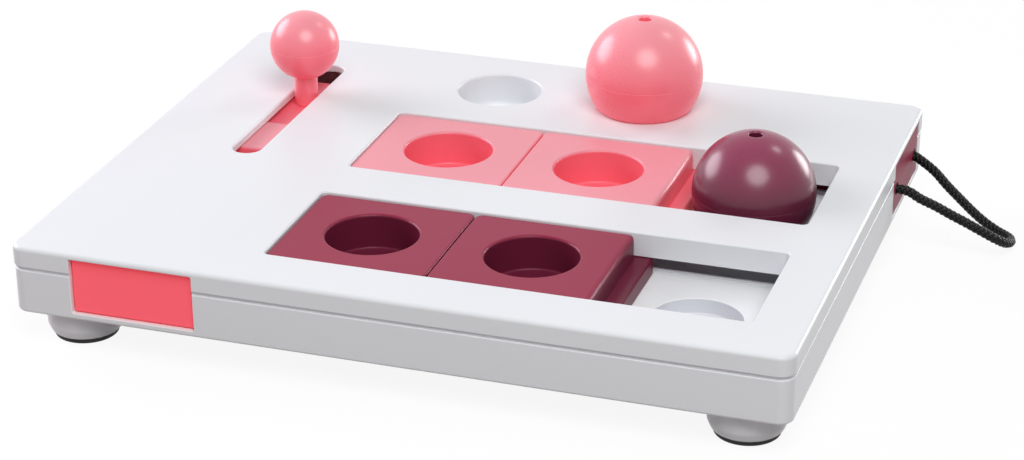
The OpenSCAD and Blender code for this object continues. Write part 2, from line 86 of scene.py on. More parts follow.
# Roundings of the edges that have no setting of their own
EDGE = 0.3 * MM
FINE_EDGE = 0.2 * MM
INNER_EDGE = 0.4 * MM
BLOCK_EDGE = 0.25 * MM
PLATE_FILLET = 0.8 * MM
FLOOR_FILLET = 1.2 * MM
FOOT_FILLET = 0.8 * MM
HOLLOW_CORNER = 1 * MM
HOLLOW_ROUND = 0.95 * MM
VENT_ROUND = 0.7 * MM
DOME_EDGE = 0.35 * MM
CORD_HOLE_RIM = 0.5 * MM
# Half the width of the mould line around domes and ball
LINE_HALF = 0.16 * MM
# Plays between pieces
SLIDER_GAP = 0.3 * MM
SCREW_PLAY = 0.3 * MM
THREAD_BITE = 0.15 * MM
RAIL_PLAY = 0.3 * MM
RUNNER_PLAY = 0.2 * MM
CORD_PLAY = 0.35 * MM
FIT_PLAY = 0.1 * MM
# How far a pad stands back from its foot's edge
PAD_INSET = 0.8 * MM
# Heights between which the painted light on upper faces begins: above the cups' floors
# and the lever's deck, and above the dishes
PAINTED_LIGHT_HEIGHTS = 30.6 * MM, 31.4 * MM
# On the trays, the walls and dishes below these heights keep a painted shade
TRAY_PAINTED_LIGHT_HEIGHTS = 19.2 * MM, 19.9 * MM
# Colour in which the floor lights the board from below, and the share of the floor's own light
FLOOR_BOUNCE = 0.41, 0.365, 0.36
FLOOR_GLOW = 0.9
# Turn that lays an upright form down, with its top to the front
LYING = Matrix.Rotation(math.pi / 2, 3, "X")

BODY_OF = {node: body for body, nodes in frame["record"]["behaviour"]["bodies"].items() for node in nodes}
TRACKS = {"front_tray": "front_track_tray", "middle_tray": "middle_track_tray"}
FEET = [f"{y}_{x}" for y in ("front", "rear") for x in ("left", "right")]
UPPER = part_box("top_shell")
BOARD_L = UPPER[1].x - UPPER[0].x
BOARD_W = UPPER[1].y - UPPER[0].y
TOP_Z = UPPER[1].z

# Centreline of the cord, in millimetres: out of the rear hole, down to the table and back to the front hole
CORD_ROUTE = (
    (118, 85, 22), (124, 85, 22), (128.2, 84.2, 20.2), (132.8, 82.6, 17.7), (137.6, 80.9, 13.8),
    (142.7, 79.7, 9.8), (147.5, 78.5, 6.2), (152.1, 77.1, 3.5), (156.6, 74.8, 2.1), (160.7, 71.1, 2.1),
    (162.2, 66.2, 2.8), (161.2, 61.2, 4.4), (158.1, 57.8, 7), (152.9, 56.7, 9.9), (147.9, 57, 12),
    (142.7, 57.4, 14), (137.8, 57.3, 16.3), (132.5, 56.4, 18.8), (128.4, 55.7, 21.3), (124, 55, 22),
    (118, 55, 22),
)


def linear(code):
    """Linear colour of a hexadecimal one."""
    channels = [int(code[i:i + 2], 16) / 255 for i in (0, 2, 4)]
    return tuple(c / 12.92 if c <= 0.04045 else ((c + 0.055) / 1.055) ** 2.4 for c in channels)


def size(name, description, millimetres):
    """Length that a user may change."""
    return FloatProperty(
        name=name, description=description, default=millimetres * MM, min=0, precision=5, unit="LENGTH")


def colour(name, description, code):
    """Colour that a user may change."""
    return FloatVectorProperty(
        name=name, description=description, default=linear(code), size=3, min=0, max=1, subtype="COLOR")


def view_angle(name, description, degrees):
    """Angle that a user may change."""
    return FloatProperty(
        name=name, description=description, default=math.radians(degrees), subtype="ANGLE")


class HousingSizes(bpy.types.PropertyGroup):
    """Sizes of the two shells and the trays."""

    corner: size("Corner", "Plan corner radius of the housing", 5)
    height: size("Height", "Height of the housing without its feet", 22.5)
    wall: size("Wall", "Thickness of the outer walls", 2.5)
    plate: size("Plate", "Thickness of the top plate", 2.5)
    floor: size("Floor", "Thickness of the floor", 1.6)
    top_round: size("Top edge", "Rounding of the top edge", 1.4)
    low_round: size("Lower edge", "Rounding of the lower edge", 1)
    seam_round: size("Groove edges", "Rounding along the groove between the shells", 0.45)
    upper_wall: size("Upper wall", "Height of the upper shell's outer wall", 6.8)
    seam: size("Groove", "Height of the groove between the shells", 1)
    tongue: size("Tongue", "Thickness of the tongue behind the groove", 1.8)
    tongue_rise: size("Tongue reach", "Reach of the tongue into the upper shell", 2)
    tongue_play: size("Tongue play", "Play around the tongue", 0.15)
    inset: size("Lower shell inset", "How far the lower shell stands back", 0.3)
    window_l: size("Window length", "Length of a track's window", 155)
    window_w: size("Window width", "Width of a track's window", 49.5)
    window_corner: size("Window corner", "Corner radius of a window", 2)
    window_rim: size("Window rim", "Rounding of a window's upper edge", 0.6)
    skirt: size("Skirt", "Thickness of the skirts around the windows", 1.8)
    skirt_depth: size("Skirt depth", "Depth of the skirts around the windows", 8)
    bowl_r: size("Bowl radius", "Radius of the treat bowls", 14.75)
    bowl_wall: size("Bowl wall", "Wall thickness of the treat bowls", 1.6)
    bowl_rim: size("Bowl rim", "Rounding of a bowl's rim", 0.8)
    bowl_fillet: size("Bowl fillet", "Rounding at the bottom of a bowl", 3)
    bowl_flange: size("Bowl flange", "Thickness of the flange around a bowl", 1.6)
    dish_r: size("Dish radius", "Radius of the dishes in the tracks", 14.4)
    dish_depth: size("Dish depth", "Depth of the dishes in the tracks", 5.2)
    dish_rim: size("Dish rim", "Rounding of a dish's rim", 0.3)
    dish_fillet: size("Dish fillet", "Rounding at the bottom of a dish", 0.5)
    tray_wall: size("Tray wall", "Wall thickness of the trays", 1.2)
    tray_floor: size("Tray floor", "Thickness of a tray's running floor", 1.6)
    boss_r: size("Post radius", "Radius of the screw posts", 4)
    boss_h: size("Boss height", "Height of the lower bosses", 5)


class SliderSizes(bpy.types.PropertyGroup):
    """Sizes of the sliding treat cups and the domes."""

    length: size("Slider length", "Length of a slider's block", 52.4)
    width: size("Slider width", "Width of a slider's block", 48.9)
    corner: size("Slider corner", "Plan corner radius of a slider", 2.5)
    wall: size("Slider wall", "Wall thickness of a slider", 2)
    top_round: size("Slider edge", "Rounding of a slider's top edge", 0.7)
    end_round: size("Slider end", "Rounding of the free end's top edge of a right slider", 2.2)
    lip_l: size("End lip", "Reach of the lip at the outer end", 5.2)
    lip_w: size("Side lips", "Reach of the lips along the sides", 4)
    lip_round: size("Lip edge", "Rounding of a lip's upper edge", 1.3)
    lip_height: size("Lip height", "Height of the lips above a slider's underside", 5.9)
    cup_r: size("Cup radius", "Radius of the cup", 14.8)
    cup_depth: size("Cup depth", "Depth of the cup", 11.8)
    cup_rim: size("Cup rim", "Rounding of the cup's rim", 1)
    cup_fillet: size("Cup fillet", "Rounding at the bottom of the cup", 0.8)
    dome_r: size("Dome radius", "Outer radius of a dome", 20.3)
    dome_base: size("Dome foot", "Radius of a dome's foot", 16)
    dome_wall: size("Dome wall", "Wall thickness of a dome", 2)
    vent: size("Dome hole", "Radius of the hole on top of a dome", 2.2)
    mould_line: size("Mould line", "Depth of the mould line around domes and ball", 0.07)


class DrawerSizes(bpy.types.PropertyGroup):
    """Sizes of the drawers and the lever."""

    opening_w: size("Opening width", "Width of a drawer's opening", 41.3)
    opening_top: size("Opening top", "Top face to the upper edge of an opening", 1.8)
    opening_sill: size("Opening sill", "Height of the sill under an opening", 2.15)
    opening_corner: size("Opening corner", "Corner radius of an opening", 0.6)
    opening_rim: size("Opening rim", "Rounding of an opening's outer edge", 0.35)
    gap: size("Gap", "Gap around a drawer's panel", 0.4)
    panel: size("Panel", "Thickness of a drawer's panel", 2)
    panel_corner: size("Panel corner", "Corner radius of a panel", 0.6)
    panel_round: size("Panel edge", "Rounding of a panel's front edge", 0.4)
    wall: size("Drawer wall", "Thickness of a drawer's walls", 1.6)
    ear: size("Ears", "Reach of the ears beyond the opening", 0.9)
    lever_recess: size("Lever panel recess", "Recess of the lever drawer's panel", 1.5)
    cord_recess: size("Cord panel recess", "Recess of the cord drawer's panel", 0.4)
    compartment: size("Compartment", "Length of the lever drawer's compartment", 50)
    deck: size("Deck", "Thickness of the lever slide's deck", 2)
    deck_play: size("Deck play", "Play between the drawers and the top plate", 0.5)
    deck_step: size("Deck step", "Step from the raised deck down to the lever's deck", 1.2)
    step_ahead: size("Step place", "Stem to the rear edge of the raised deck", 22.4)
    raised_ahead: size("Deck front", "Stem to the front edge of the raised deck", 45.9)
    raised_round: size("Deck edge", "Rounding of the raised deck's edges", 1.1)
    front_drop: size("Front drop", "Drop from the raised deck to the deck in front of it", 4)
    knob_r: size("Ball radius", "Radius of the ball knob", 12.1)
    stem_r: size("Stem radius", "Radius of the lever's stem", 4.1)
    stem_fillet: size("Stem fillet", "Rounding between stem and ball", 0.4)
    spigot_r: size("Spigot radius", "Radius of the spigot under the stem", 2.6)
    slot_play: size("Slot play", "Play between the stem and the slot", 0.9)
    slot_ahead: size("Slot ahead", "Stem to the front end of the slot", 57)
    slot_behind: size("Slot behind", "Stem to the rear end of the slot", 27)
    slot_rim: size("Slot rim", "Rounding of the slot's upper edge", 0.6)


class SmallPartSizes(bpy.types.PropertyGroup):
    """Sizes of the cord, the feet and the screws."""

    cord_d: size("Cord", "Diameter of the cord", 3.5)
    strands: IntProperty(
        name="Strands", description="Strands of the braid in each direction", default=4, min=3, max=12)
    braid_pitch: size("Braid pitch", "Length in which a strand goes once round the cord", 7)
    knot_r: size("Knot radius", "Radius of the knots", 3.1)
    knot_l: size("Knot length", "Length of the knots", 6.4)
    foot_r: size("Foot radius", "Radius of a foot", 12.2)
    foot_wall: size("Foot wall", "Wall thickness of a foot at its top", 4)
    foot_taper: size("Foot taper", "How far a foot draws in towards its pad", 1.2)
    foot_curve: size("Foot curve", "Height over which a foot draws in", 2.8)
    pad_t: size("Pad", "Height of a pad below its foot", 1.8)
    pad_round: size("Pad edge", "Rounding of a pad's lower edge", 0.5)
    head_r: size("Screw head", "Radius of a housing screw's head", 2.8)
    head_h: size("Screw head height", "Height of a housing screw's head", 2.2)
    shank_r: size("Screw shank", "Radius of a housing screw's shank", 1.5)
    sink_depth: size("Screw recess", "Depth of the recess for a screw's head", 3)


class FinishColours(bpy.types.PropertyGroup):
    """Colours of the finishes."""

    white: colour("White plastic", "Shells and bowls", "E3E6EA")
    # Trays: the running floors' upper faces get painted light, and the walls and dishes a darker painted
    # shade
    tray: colour("Tray plastic", "Running floors of the trays", "F1F3F6")
    dish: colour("Dish plastic", "Walls and dishes of the trays", "D9DBE1")
    pink: colour("Pink plastic", "Pink sliders, dome, lever and its drawer", "E27181")
    # Painted light: this paler pink is put on faces that look up, in place of the sheen and top light that
    # fall on them
    pink_painted_light: colour("Pale pink", "Film on the pink pieces' upper faces", "DB97A2")
    # Painted light: the pink pieces give off this light though they are no lamp
    pink_painted_glow: colour("Pink glow", "Light that the pink dye gives back", "7C0000")
    maroon: colour("Maroon plastic", "Maroon sliders, dome and cord drawer", "6A2038")
    # Painted light: this paler maroon is put on faces that look up, and all over the cord drawer's panel, in
    # place of sheen and light
    maroon_painted_light: colour("Pale maroon", "Film on the maroon pieces' upper faces", "942F49")
    # The dome's own colour shows on its lower part; its upper part gets the painted light below
    maroon_dome: colour("Maroon dome", "Lower part of the maroon dome", "621D37")
    maroon_dome_painted_light: colour("Maroon dome film", "Upper part of the maroon dome", "8A2C50")
    rubber: colour("Rubber", "Pads under the feet", "1B1A1B")
    cord: colour("Cord", "Braided cord", "0D0B0C")
    steel: colour("Steel", "Plated screws", "B9BABD")


class StageSettings(bpy.types.PropertyGroup):
    """Camera and light of the studio."""

    lens: FloatProperty(
        name="Lens", description="Focal length of the camera", default=96.14, min=1, unit="CAMERA")
    azimuth: view_angle("Azimuth", "Turn of the camera about the board", 18.588)
    elevation: view_angle("Elevation", "Height angle of the camera", 24.765)
    roll: view_angle("Roll", "Turn of the camera about its view", -0.389)
    place: FloatVectorProperty(
        name="Place", description="Place of the camera", default=(0.26917, -0.77946, 0.39389), unit="LENGTH")
    ambient: FloatProperty(
        name="Ambient", description="Strength of the light from all sides", default=0.22, min=0)
    backdrop: colour("Backdrop", "Floor and background", "FFFFFF")


GROUPS = {
    "housing": HousingSizes, "sliders": SliderSizes, "drawers": DrawerSizes,
    "small": SmallPartSizes, "colours": FinishColours, "stage": StageSettings,
}


class BoardSettings(bpy.types.PropertyGroup):
    """All settings of the puzzle board."""

    housing: PointerProperty(type=HousingSizes)
    sliders: PointerProperty(type=SliderSizes)
    drawers: PointerProperty(type=DrawerSizes)
    small: PointerProperty(type=SmallPartSizes)
    colours: PointerProperty(type=FinishColours)
    stage: PointerProperty(type=StageSettings)


# Shapes

def rounded(points, radii):
    """Open outline in a plane, with the corners that have a radius turned into arcs."""
    outline = []
    for i, radius in enumerate(radii):
        corner = Vector(points[i])
        if not radius:
            outline.append(corner)
            continue
        back = (Vector(points[i - 1]) - corner).normalized()
        ahead = (Vector(points[i + 1]) - corner).normalized()
        half = back.angle(ahead) / 2
        centre = corner + (back + ahead).normalized() * (radius / math.sin(half))
        first = corner + back * (radius / math.tan(half)) - centre
        last = corner + ahead * (radius / math.tan(half)) - centre
        start = math.atan2(first.y, first.x)
        turn = (math.atan2(last.y, last.x) - start + math.pi) % math.tau - math.pi
        for k in range(ARC_STEPS + 1):
            angle = start + turn * k / ARC_STEPS
            outline.append(centre + radius * Vector((math.cos(angle), math.sin(angle))))
    return outline


def rim(offset, height, radius, beyond):
    """Outline of a cutter that leaves a rounded edge where it comes out of a face at that height."""
    outline = []
    for k in range(ARC_STEPS + 1):
        angle = RIM_ANGLE * k / ARC_STEPS
        outline.append(Vector((
            offset + radius * (1 - math.cos(angle)), height - radius * (1 - math.sin(angle)))))
    rise = height + RIM_LIFT - outline[-1].y
    outline.append(outline[-1] + Vector((rise * math.tan(RIM_ANGLE), rise)))
    outline.append(outline[-1] + Vector((0, beyond)))
    return outline


def rect_ring(length, width, radius, height):
    """Points around a rectangle with round corners."""
    radius = max(radius, MM / 100)
    points = []
    for quarter, (side_x, side_y) in enumerate(((1, 1), (-1, 1), (-1, -1), (1, -1))):
        centre = Vector((side_x * (length / 2 - radius), side_y * (width / 2 - radius), height))
        for k in range(CORNER_STEPS + 1):
            angle = math.pi / 2 * (quarter + k / CORNER_STEPS)
            points.append(centre + radius * Vector((math.cos(angle), math.sin(angle), 0)))
    return points


def round_ring(radius, height):
    """Points around a circle, or the one point of a pole."""
    if radius < TINY / 10:
        return [Vector((0, 0, height))]
    return [
        Vector((radius * math.cos(a), radius * math.sin(a), height))
        for a in (math.tau * k / TURNED_SIDES for k in range(TURNED_SIDES))
    ]


def skin(rings, closed=False):
    """Solid whose skin runs through the rings in order."""
    bm = bmesh.new()
    rows = [[bm.verts.new(point) for point in ring] for ring in rings]
    for near, far in zip(rows, rows[1:] + rows[:1] if closed else rows[1:]):
        for k in range(max(len(near), len(far))):
            corners = (
                near[k % len(near)], near[(k + 1) % len(near)], far[(k + 1) % len(far)], far[k % len(far)])
            bm.faces.new(list(dict.fromkeys(corners)))
    if not closed:
        for row in (rows[0], rows[-1]):
            if len(row) > 1:
                bm.faces.new(row)
    return Solid(bm)


def slab(length, width, radius, profile):
    """Solid on a round-cornered rectangle; the profile gives growth and height."""
    return skin([
        rect_ring(length + 2 * grow, width + 2 * grow, radius + grow, height) for grow, height in profile])


def turned(profile, closed=False):
    """Solid turned about the vertical; the profile gives radius and height."""
    return skin([round_ring(radius, height) for radius, height in profile], closed)


def bar(radius, low, high, low_round=0, high_round=0):
    """Upright round bar."""
    return turned(rounded(
        [(0, low), (radius, low), (radius, high), (0, high)], [0, low_round, high_round, 0]))


def plate(length, width, radius, low, high, low_round=0, high_round=0):
    """Upright prism with rounded edges above and below."""
    # Its end faces begin a little inside the edges, so that the roundings have room
    reach = max(min(radius * 0.8, 3 * MM), low_round, high_round) + 0.05 * MM
    reach = min(reach, min(length, width) / 2 - MM / 2)
    return slab(length, width, radius, rounded(
        [(-reach, low), (0, low), (0, high), (-reach, high)], [0, low_round, high_round, 0]))


def box_between(low, high, edge=BLOCK_EDGE):
    """Straight block between two corners, with small rounded edges all round."""
    extent = Vector(high) - Vector(low)
    edge = min(edge, min(extent) / 3)
    # Slightly less than the corners' radius, so that no two points fall together
    level_edge = edge * 0.98
    block = plate(extent.x, extent.y, edge, -extent.z / 2, extent.z / 2, level_edge, level_edge)
    return block.at(*(Vector(high) + Vector(low)) / 2)


def pocket(radius, depth, rim_round, fillet, face):
    """Cutter for a round hollow with a rounded rim and a fillet at its bottom."""
    low = face - depth
    base = rounded([(0, low), (radius, low), (radius, face - rim_round)], [0, fillet, 0])
    return turned(base[:-1] + rim(radius, face, rim_round, CUT) + [Vector((0, face + RIM_LIFT + CUT))])


def hole_cut(radius, low, face, rim_round):
    """Cutter for a round hole with a rounded upper edge."""
    outline = [Vector((0, low)), Vector((radius, low))] + rim(radius, face, rim_round, CUT)
    return turned(outline + [Vector((0, outline[-1].y))])


def window_cut(length, width, radius, low, face, rim_round):
    """Cutter for a straight opening with a rounded upper edge."""
    return slab(length, width, radius, [Vector((0, low))] + rim(0, face, rim_round, CUT))


class Solid:
    """Closed mesh that takes part in joins and cuts before it becomes a piece."""

    def __init__(self, bm):
        bmesh.ops.recalc_face_normals(bm, faces=bm.faces)
        mesh = bpy.data.meshes.new("solid")
        bm.to_mesh(mesh)
        bm.free()
        self.object = bpy.data.objects.new("solid", mesh)
        bpy.context.scene.collection.objects.link(self.object)

    def at(self, x=0, y=0, z=0, turn=None):
        """Turns the solid about the origin and moves it."""
        matrix = Matrix.Translation((x, y, z))
        self.object.data.transform(matrix @ turn.to_4x4() if turn else matrix)
        return self

    def drop(self):
        """Removes the solid."""
        mesh = self.object.data
        bpy.data.objects.remove(self.object)
        bpy.data.meshes.remove(mesh)

    def _combined(self, operation, others):
        group = bpy.data.collections.new("operands")
        bpy.context.scene.collection.children.link(group)
        for other in others:
            group.objects.link(other.object)
        modifier = self.object.modifiers.new("combine", "BOOLEAN")
        modifier.operation = operation
        modifier.operand_type = "COLLECTION"
        modifier.collection = group
        modifier.solver = "MANIFOLD"
        graph = bpy.context.evaluated_depsgraph_get()
        made = bpy.data.meshes.new_from_object(self.object.evaluated_get(graph))
        self.object.modifiers.clear()
        old = self.object.data
        self.object.data = made
        bpy.data.meshes.remove(old)
        for other in others:
            other.drop()
        bpy.data.collections.remove(group)
        if not made.polygons:
            raise RuntimeError(f"{operation} left nothing of a solid")
        return self

    def joined(self, *others):
        """The solid with others added to it."""
        return self._combined("UNION", others)

    def without(self, *others):
        """The solid with others cut out of it."""
        return self._combined("DIFFERENCE", others)

    def piece(self, name, node, slot, finish):
        """Shown piece that stands for a CAD node and rides on its body."""
        mesh = self.object.data
        bm = bmesh.new()
        bm.from_mesh(mesh)
        bmesh.ops.remove_doubles(bm, verts=bm.verts, dist=WELD)
        bmesh.ops.dissolve_degenerate(bm, edges=bm.edges, dist=TINY)
        bm.to_mesh(mesh)
        bm.free()
        mesh.name = name
        self.object.name = name
        mesh.materials.clear()
        mesh.materials.append(finish)
        mesh.shade_smooth()
        mesh.set_sharp_from_angle(angle=SHARP_ANGLE)
        normals = self.object.modifiers.new("even shading", "WEIGHTED_NORMAL")
        normals.keep_sharp = True
        normals.weight = 80
        return dressed(self.object, node)


def dressed(piece, node):
    """The piece, riding on the body of the CAD node that it stands for."""
    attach(piece, BODY_OF[node])
    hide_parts(node)
    return piece


def turned_by(angle):
    """Turn about the vertical."""
    return Matrix.Rotation(angle, 3, "Z")


# Finishes

class Shade:
    """Socket of a finish that takes part in Python arithmetic."""

    def __init__(self, finish, socket):
        self.finish = finish
        self.socket = socket

    def _math(self, operation, first, second):
        return self.finish.add("ShaderNodeMath", {"operation": operation}, {0: first, 1: second})["Value"]

    def __add__(self, other):
        return self._math("ADD", self, other)

    def __radd__(self, other):
        return self._math("ADD", other, self)

    def __sub__(self, other):
        return self._math("SUBTRACT", self, other)

    def __rsub__(self, other):
        return self._math("SUBTRACT", other, self)

    def __mul__(self, other):
        return self._math("MULTIPLY", self, other)

    def __rmul__(self, other):
        return self._math("MULTIPLY", other, self)


class Finish:
    """Node tree under construction."""

    def __init__(self, tree):
        self.tree = tree
        tree.nodes.clear()

    def add(self, kind, options=None, sockets=None):
        """New node of a type; its options are set first, then its sockets' values or links."""
        node = self.tree.nodes.new(kind)
        for name, value in (options or {}).items():
            setattr(node, name, value)
        for key, value in (sockets or {}).items():
            socket = self._socket(node.inputs, key)
            if isinstance(value, Shade):
                self.tree.links.new(value.socket, socket)
            else:
                socket.default_value = value
        return {s.name: Shade(self, s) for s in node.outputs if s.enabled}

    @staticmethod
    def _socket(sockets, key):
        if isinstance(key, int):
            return sockets[key]
        return next(s for s in sockets if s.enabled and key in (s.name, s.identifier))

    def noise(self, where, scale, detail=2.0, stretch=None, distortion=0.0):
        """Noise over the surface, from 0 to 1."""
        if stretch:
            where = self.add("ShaderNodeMapping", None, {"Vector": where, "Scale": stretch})["Vector"]
        return self.add("ShaderNodeTexNoise", None, {
            "Vector": where, "Scale": scale, "Detail": detail, "Distortion": distortion})["Fac"]

    def level(self, value, low, high):
        """The value spread from 0 to 1 between two levels, and held there outside them."""
        return self.add("ShaderNodeMapRange", {"clamp": True}, {
            "Value": value, "From Min": low, "From Max": high})["Result"]

    def blend(self, factor, first, second):
        """Mix of two colours."""
        return self.add("ShaderNodeMix", {"data_type": "RGBA"}, {
            "Factor": factor, "A": first, "B": second})["Result"]

    def bump(self, height):
        """Normal of a surface with that height in metres."""
        return self.add("ShaderNodeBump", None, {
            "Height": height, "Strength": 1.0, "Distance": 1.0})["Normal"]

    def surface(self, sockets):
        """Principled surface as the material's output."""
        shader = self.add("ShaderNodeBsdfPrincipled", None, sockets)["BSDF"]
        self.add("ShaderNodeOutputMaterial", None, {"Surface": shader})

    def height(self, vector):
        """Upward part of a vector."""
        return self.add("ShaderNodeSeparateXYZ", None, {"Vector": vector})["Z"]

    def place(self):
        """Coordinates in metres that move with the piece."""
        return self.add("ShaderNodeTexCoord")["Object"]

    def seen(self):
        """1 where the eye or a mirror image looks, 0 where light is gathered."""
        ray = self.add("ShaderNodeLightPath")
        return self.level(
            ray["Is Camera Ray"] + ray["Is Glossy Ray"] + ray["Is Transmission Ray"], 0.0, 1.0)

    def mix(self, factor, first, second):
        """Mix of two shaders."""
        return self.add("ShaderNodeMixShader", None, {0: factor, 1: first, 2: second})["Shader"]


def tint(base, factor):
    """Colour made lighter or darker."""
    return (*(min(c * factor, 1) for c in base), 1)


def new_finish(name):
    """Empty material and its tree."""
    material = bpy.data.materials.new(name)
    material.use_nodes = True
    return material, Finish(material.node_tree)


def moulded_plastic(
        name, base, painted_light, gloss, shine, painted_light_start=0.15, glow=(0, 0, 0), heights=PAINTED_LIGHT_HEIGHTS):
    """Injection-moulded plastic with a fine grain and flow marks, painted light on its upper faces and a
    painted glow where one is given; made once.
    """
    if name in bpy.data.materials:
        return bpy.data.materials[name]
    material, finish = new_finish(name)
    where = finish.place()
    cloud = finish.noise(where, 14, 3)
    flow = finish.noise(where, 55, 2, (1, 0.35, 1))
    grain = finish.noise(where, 2600, 2)
    speck = finish.level(finish.noise(where, 420, 1), 0.74, 0.82)
    scuff = finish.level(finish.noise(where, 90, 3, (1, 14, 3), 0.6), 0.68, 0.74)
    upward = finish.height(finish.add("ShaderNodeNewGeometry")["Normal"])
    # Painted light: faces that look up, above the given heights, take the paler colour
    upper = finish.level(upward, painted_light_start, 0.95) * finish.level(finish.height(where), *heights)
    shade = finish.blend(upper, (*base, 1), (*painted_light, 1))
    shade = finish.blend(speck * 0.05 + finish.level(cloud, 0.3, 0.7) * 0.04, shade, tint(base, 0.7))
    rough = gloss + (flow - 0.5) * 0.05 + (grain - 0.5) * 0.03 + scuff * 0.02
    height = grain * 1.4e-6 + flow * 2.5e-5 + cloud * 3e-5
    finish.surface({
        "Base Color": shade, "Roughness": rough, "Normal": finish.bump(height), "IOR": 1.46,
        # The emission is a painted glow, not a lamp
        "Specular IOR Level": shine, "Emission Color": (*glow, 1), "Emission Strength": 1.0,
    })
    return material


def foot_rubber(base):
    """Matt black rubber with a slightly dusty grain."""
    material, finish = new_finish("foot_rubber")
    where = finish.place()
    grain = finish.noise(where, 1900, 3)
    dust = finish.level(finish.noise(where, 160, 4), 0.52, 0.75)
    shade = finish.blend(dust * 0.16, (*base, 1), (0.16, 0.155, 0.15, 1))
    finish.surface({
        "Base Color": shade, "Roughness": 0.62 + dust * 0.2 + (grain - 0.5) * 0.1,
        "Normal": finish.bump(grain * 1.6e-5), "Specular IOR Level": 0.4,
    })
    return material


def braided_fibre(base):
    """Twisted fibre of a braided cord; the strands' own coordinates run along and round each strand."""
    material, finish = new_finish("braided_fibre")
    along = finish.add("ShaderNodeUVMap", {"uv_map": "strand"})["UV"]
    where = finish.place()
    fibre = finish.noise(along, 1.0, 3, (2.2, 34, 1))
    fuzz = finish.noise(where, 2400, 2)
    patch = finish.noise(where, 120, 2)
    shade = finish.blend(finish.level(fibre, 0.35, 0.75), tint(base, 0.3), tint(base, 1.0))
    shade = finish.blend(finish.level(patch, 0.45, 0.8) * 0.3, shade, tint(base, 1.4))
    finish.surface({
        "Base Color": shade, "Roughness": 0.36 + (fibre - 0.5) * 0.25 + (fuzz - 0.5) * 0.1,
        "Normal": finish.bump(fibre * 1.8e-5 + fuzz * 0.4e-5), "Specular IOR Level": 0.2,
    })
    return material


def plated_steel(base):
    """Zinc-plated steel with turning marks and a few dull patches; made once."""
    if "plated_steel" in bpy.data.materials:
        return bpy.data.materials["plated_steel"]
    material, finish = new_finish("plated_steel")
    where = finish.place()
    marks = finish.noise(where, 700, 2, (1, 1, 9))
    patch = finish.level(finish.noise(where, 260, 3), 0.45, 0.7)
    shade = finish.blend(patch * 0.5, (*base, 1), tint(base, 0.72))
    finish.surface({
        "Base Color": shade, "Metallic": 1.0, "Roughness": 0.28 + patch * 0.2 + (marks - 0.5) * 0.1,
        "Normal": finish.bump(marks * 6e-6),
    })
    return material


# Operators

def settings():
    """Settings of the board in this scene."""
    return bpy.context.scene.puzzle_board


def white_plastic():
    """Finish of the shells and bowls."""
    c = settings().colours
    return moulded_plastic("white_moulded_plastic", c.white, c.white, 0.36, 0.5)


def tray_plastic():
    """Finish of the trays: painted shade on their walls and dishes, and painted light on the upper faces
    above their dishes.
    """
    c = settings().colours
    return moulded_plastic("white_tray_plastic", c.dish, c.tray, 0.4, 0.4, heights=TRAY_PAINTED_LIGHT_HEIGHTS)


def pink_plastic(kind="moulded"):
    """Finish of the pink pieces, with a painted glow that stands in for light; the round ones are polished.
    """
    c = settings().colours
    # The last column scales the painted glow, strongest on the lever drawer's panel
    gloss, shine, painted_light_start, glow = {
        "moulded": (0.3, 0.3, 0.15, 0.6),
        "polished": (0.28, 0.62, -0.2, 0.95),
        "panel": (0.34, 0.25, 0.15, 1.8),
        "slide": (0.34, 0.2, 0.15, 0.5),
    }[kind]
    return moulded_plastic(
        f"pink_{kind}_plastic", c.pink, c.pink_painted_light, gloss, shine, painted_light_start, tint(c.pink_painted_glow, glow)[:3])


def maroon_plastic(kind="moulded"):
    """Finish of the maroon pieces; the dome is polished, and the drawer's panel takes the pale painted-light
    colour all over.
    """
    c = settings().colours
    base, painted_light, gloss, shine = {
        "moulded": (c.maroon, c.maroon_painted_light, 0.3, 0.16),
        "polished": (c.maroon_dome, c.maroon_dome_painted_light, 0.25, 0.6),
        "panel": (c.maroon_painted_light, c.maroon_painted_light, 0.36, 0.06),
    }[kind]
    return moulded_plastic(f"maroon_{kind}_plastic", base, painted_light, gloss, shine)


def screw_places():
    """Places of the housing screws, read from the CAD node's solids."""
    bm = bmesh.new()
    bm.from_mesh(frame["nodes"]["housing_screws"].data)
    bmesh.ops.remove_doubles(bm, verts=bm.verts, dist=TINY)
    left = set(bm.verts)
    places = []
    while left:
        island, todo = [], [left.pop()]
        while todo:
            vert = todo.pop()
            island.append(vert.co.copy())
            for edge in vert.link_edges:
                other = edge.other_vert(vert)
                if other in left:
                    left.remove(other)
                    todo.append(other)
        xs, ys = [p.x for p in island], [p.y for p in island]
        places.append(((min(xs) + max(xs)) / 2, (min(ys) + max(ys)) / 2))
    bm.free()
    return sorted(places)


def middle(node):
    """Middle of a CAD node's box."""
    low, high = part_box(node)
    return (low + high) / 2


def underside():
    """Height of the housing's underside."""
    return TOP_Z - settings().housing.height


def opening_places():
    """Place and turn of each drawer's opening, with +Y running into the housing."""
    return (
        (Vector((middle("lever_drawer").x, -BOARD_W / 2, 0)), turned_by(0)),
        (Vector((BOARD_L / 2, middle("cord_drawer").y, 0)), turned_by(math.pi / 2)),
    )


def opening_cutters(inset):
    """Cutters for both drawer openings through a wall whose face stands back by the inset."""
    d = settings().drawers
    sill, top = underside() + d.opening_sill, TOP_Z - d.opening_top
    depth = d.lever_recess + d.panel + 2 * CUT
    cutters = []
    for place, turn in opening_places():
        cutter = window_cut(d.opening_w, top - sill, d.opening_corner, -depth, -inset, d.opening_rim)
        cutter.at(0, 0, (sill + top) / 2, LYING)
        cutters.append(cutter.at(place.x, place.y, 0, turn))
    return cutters


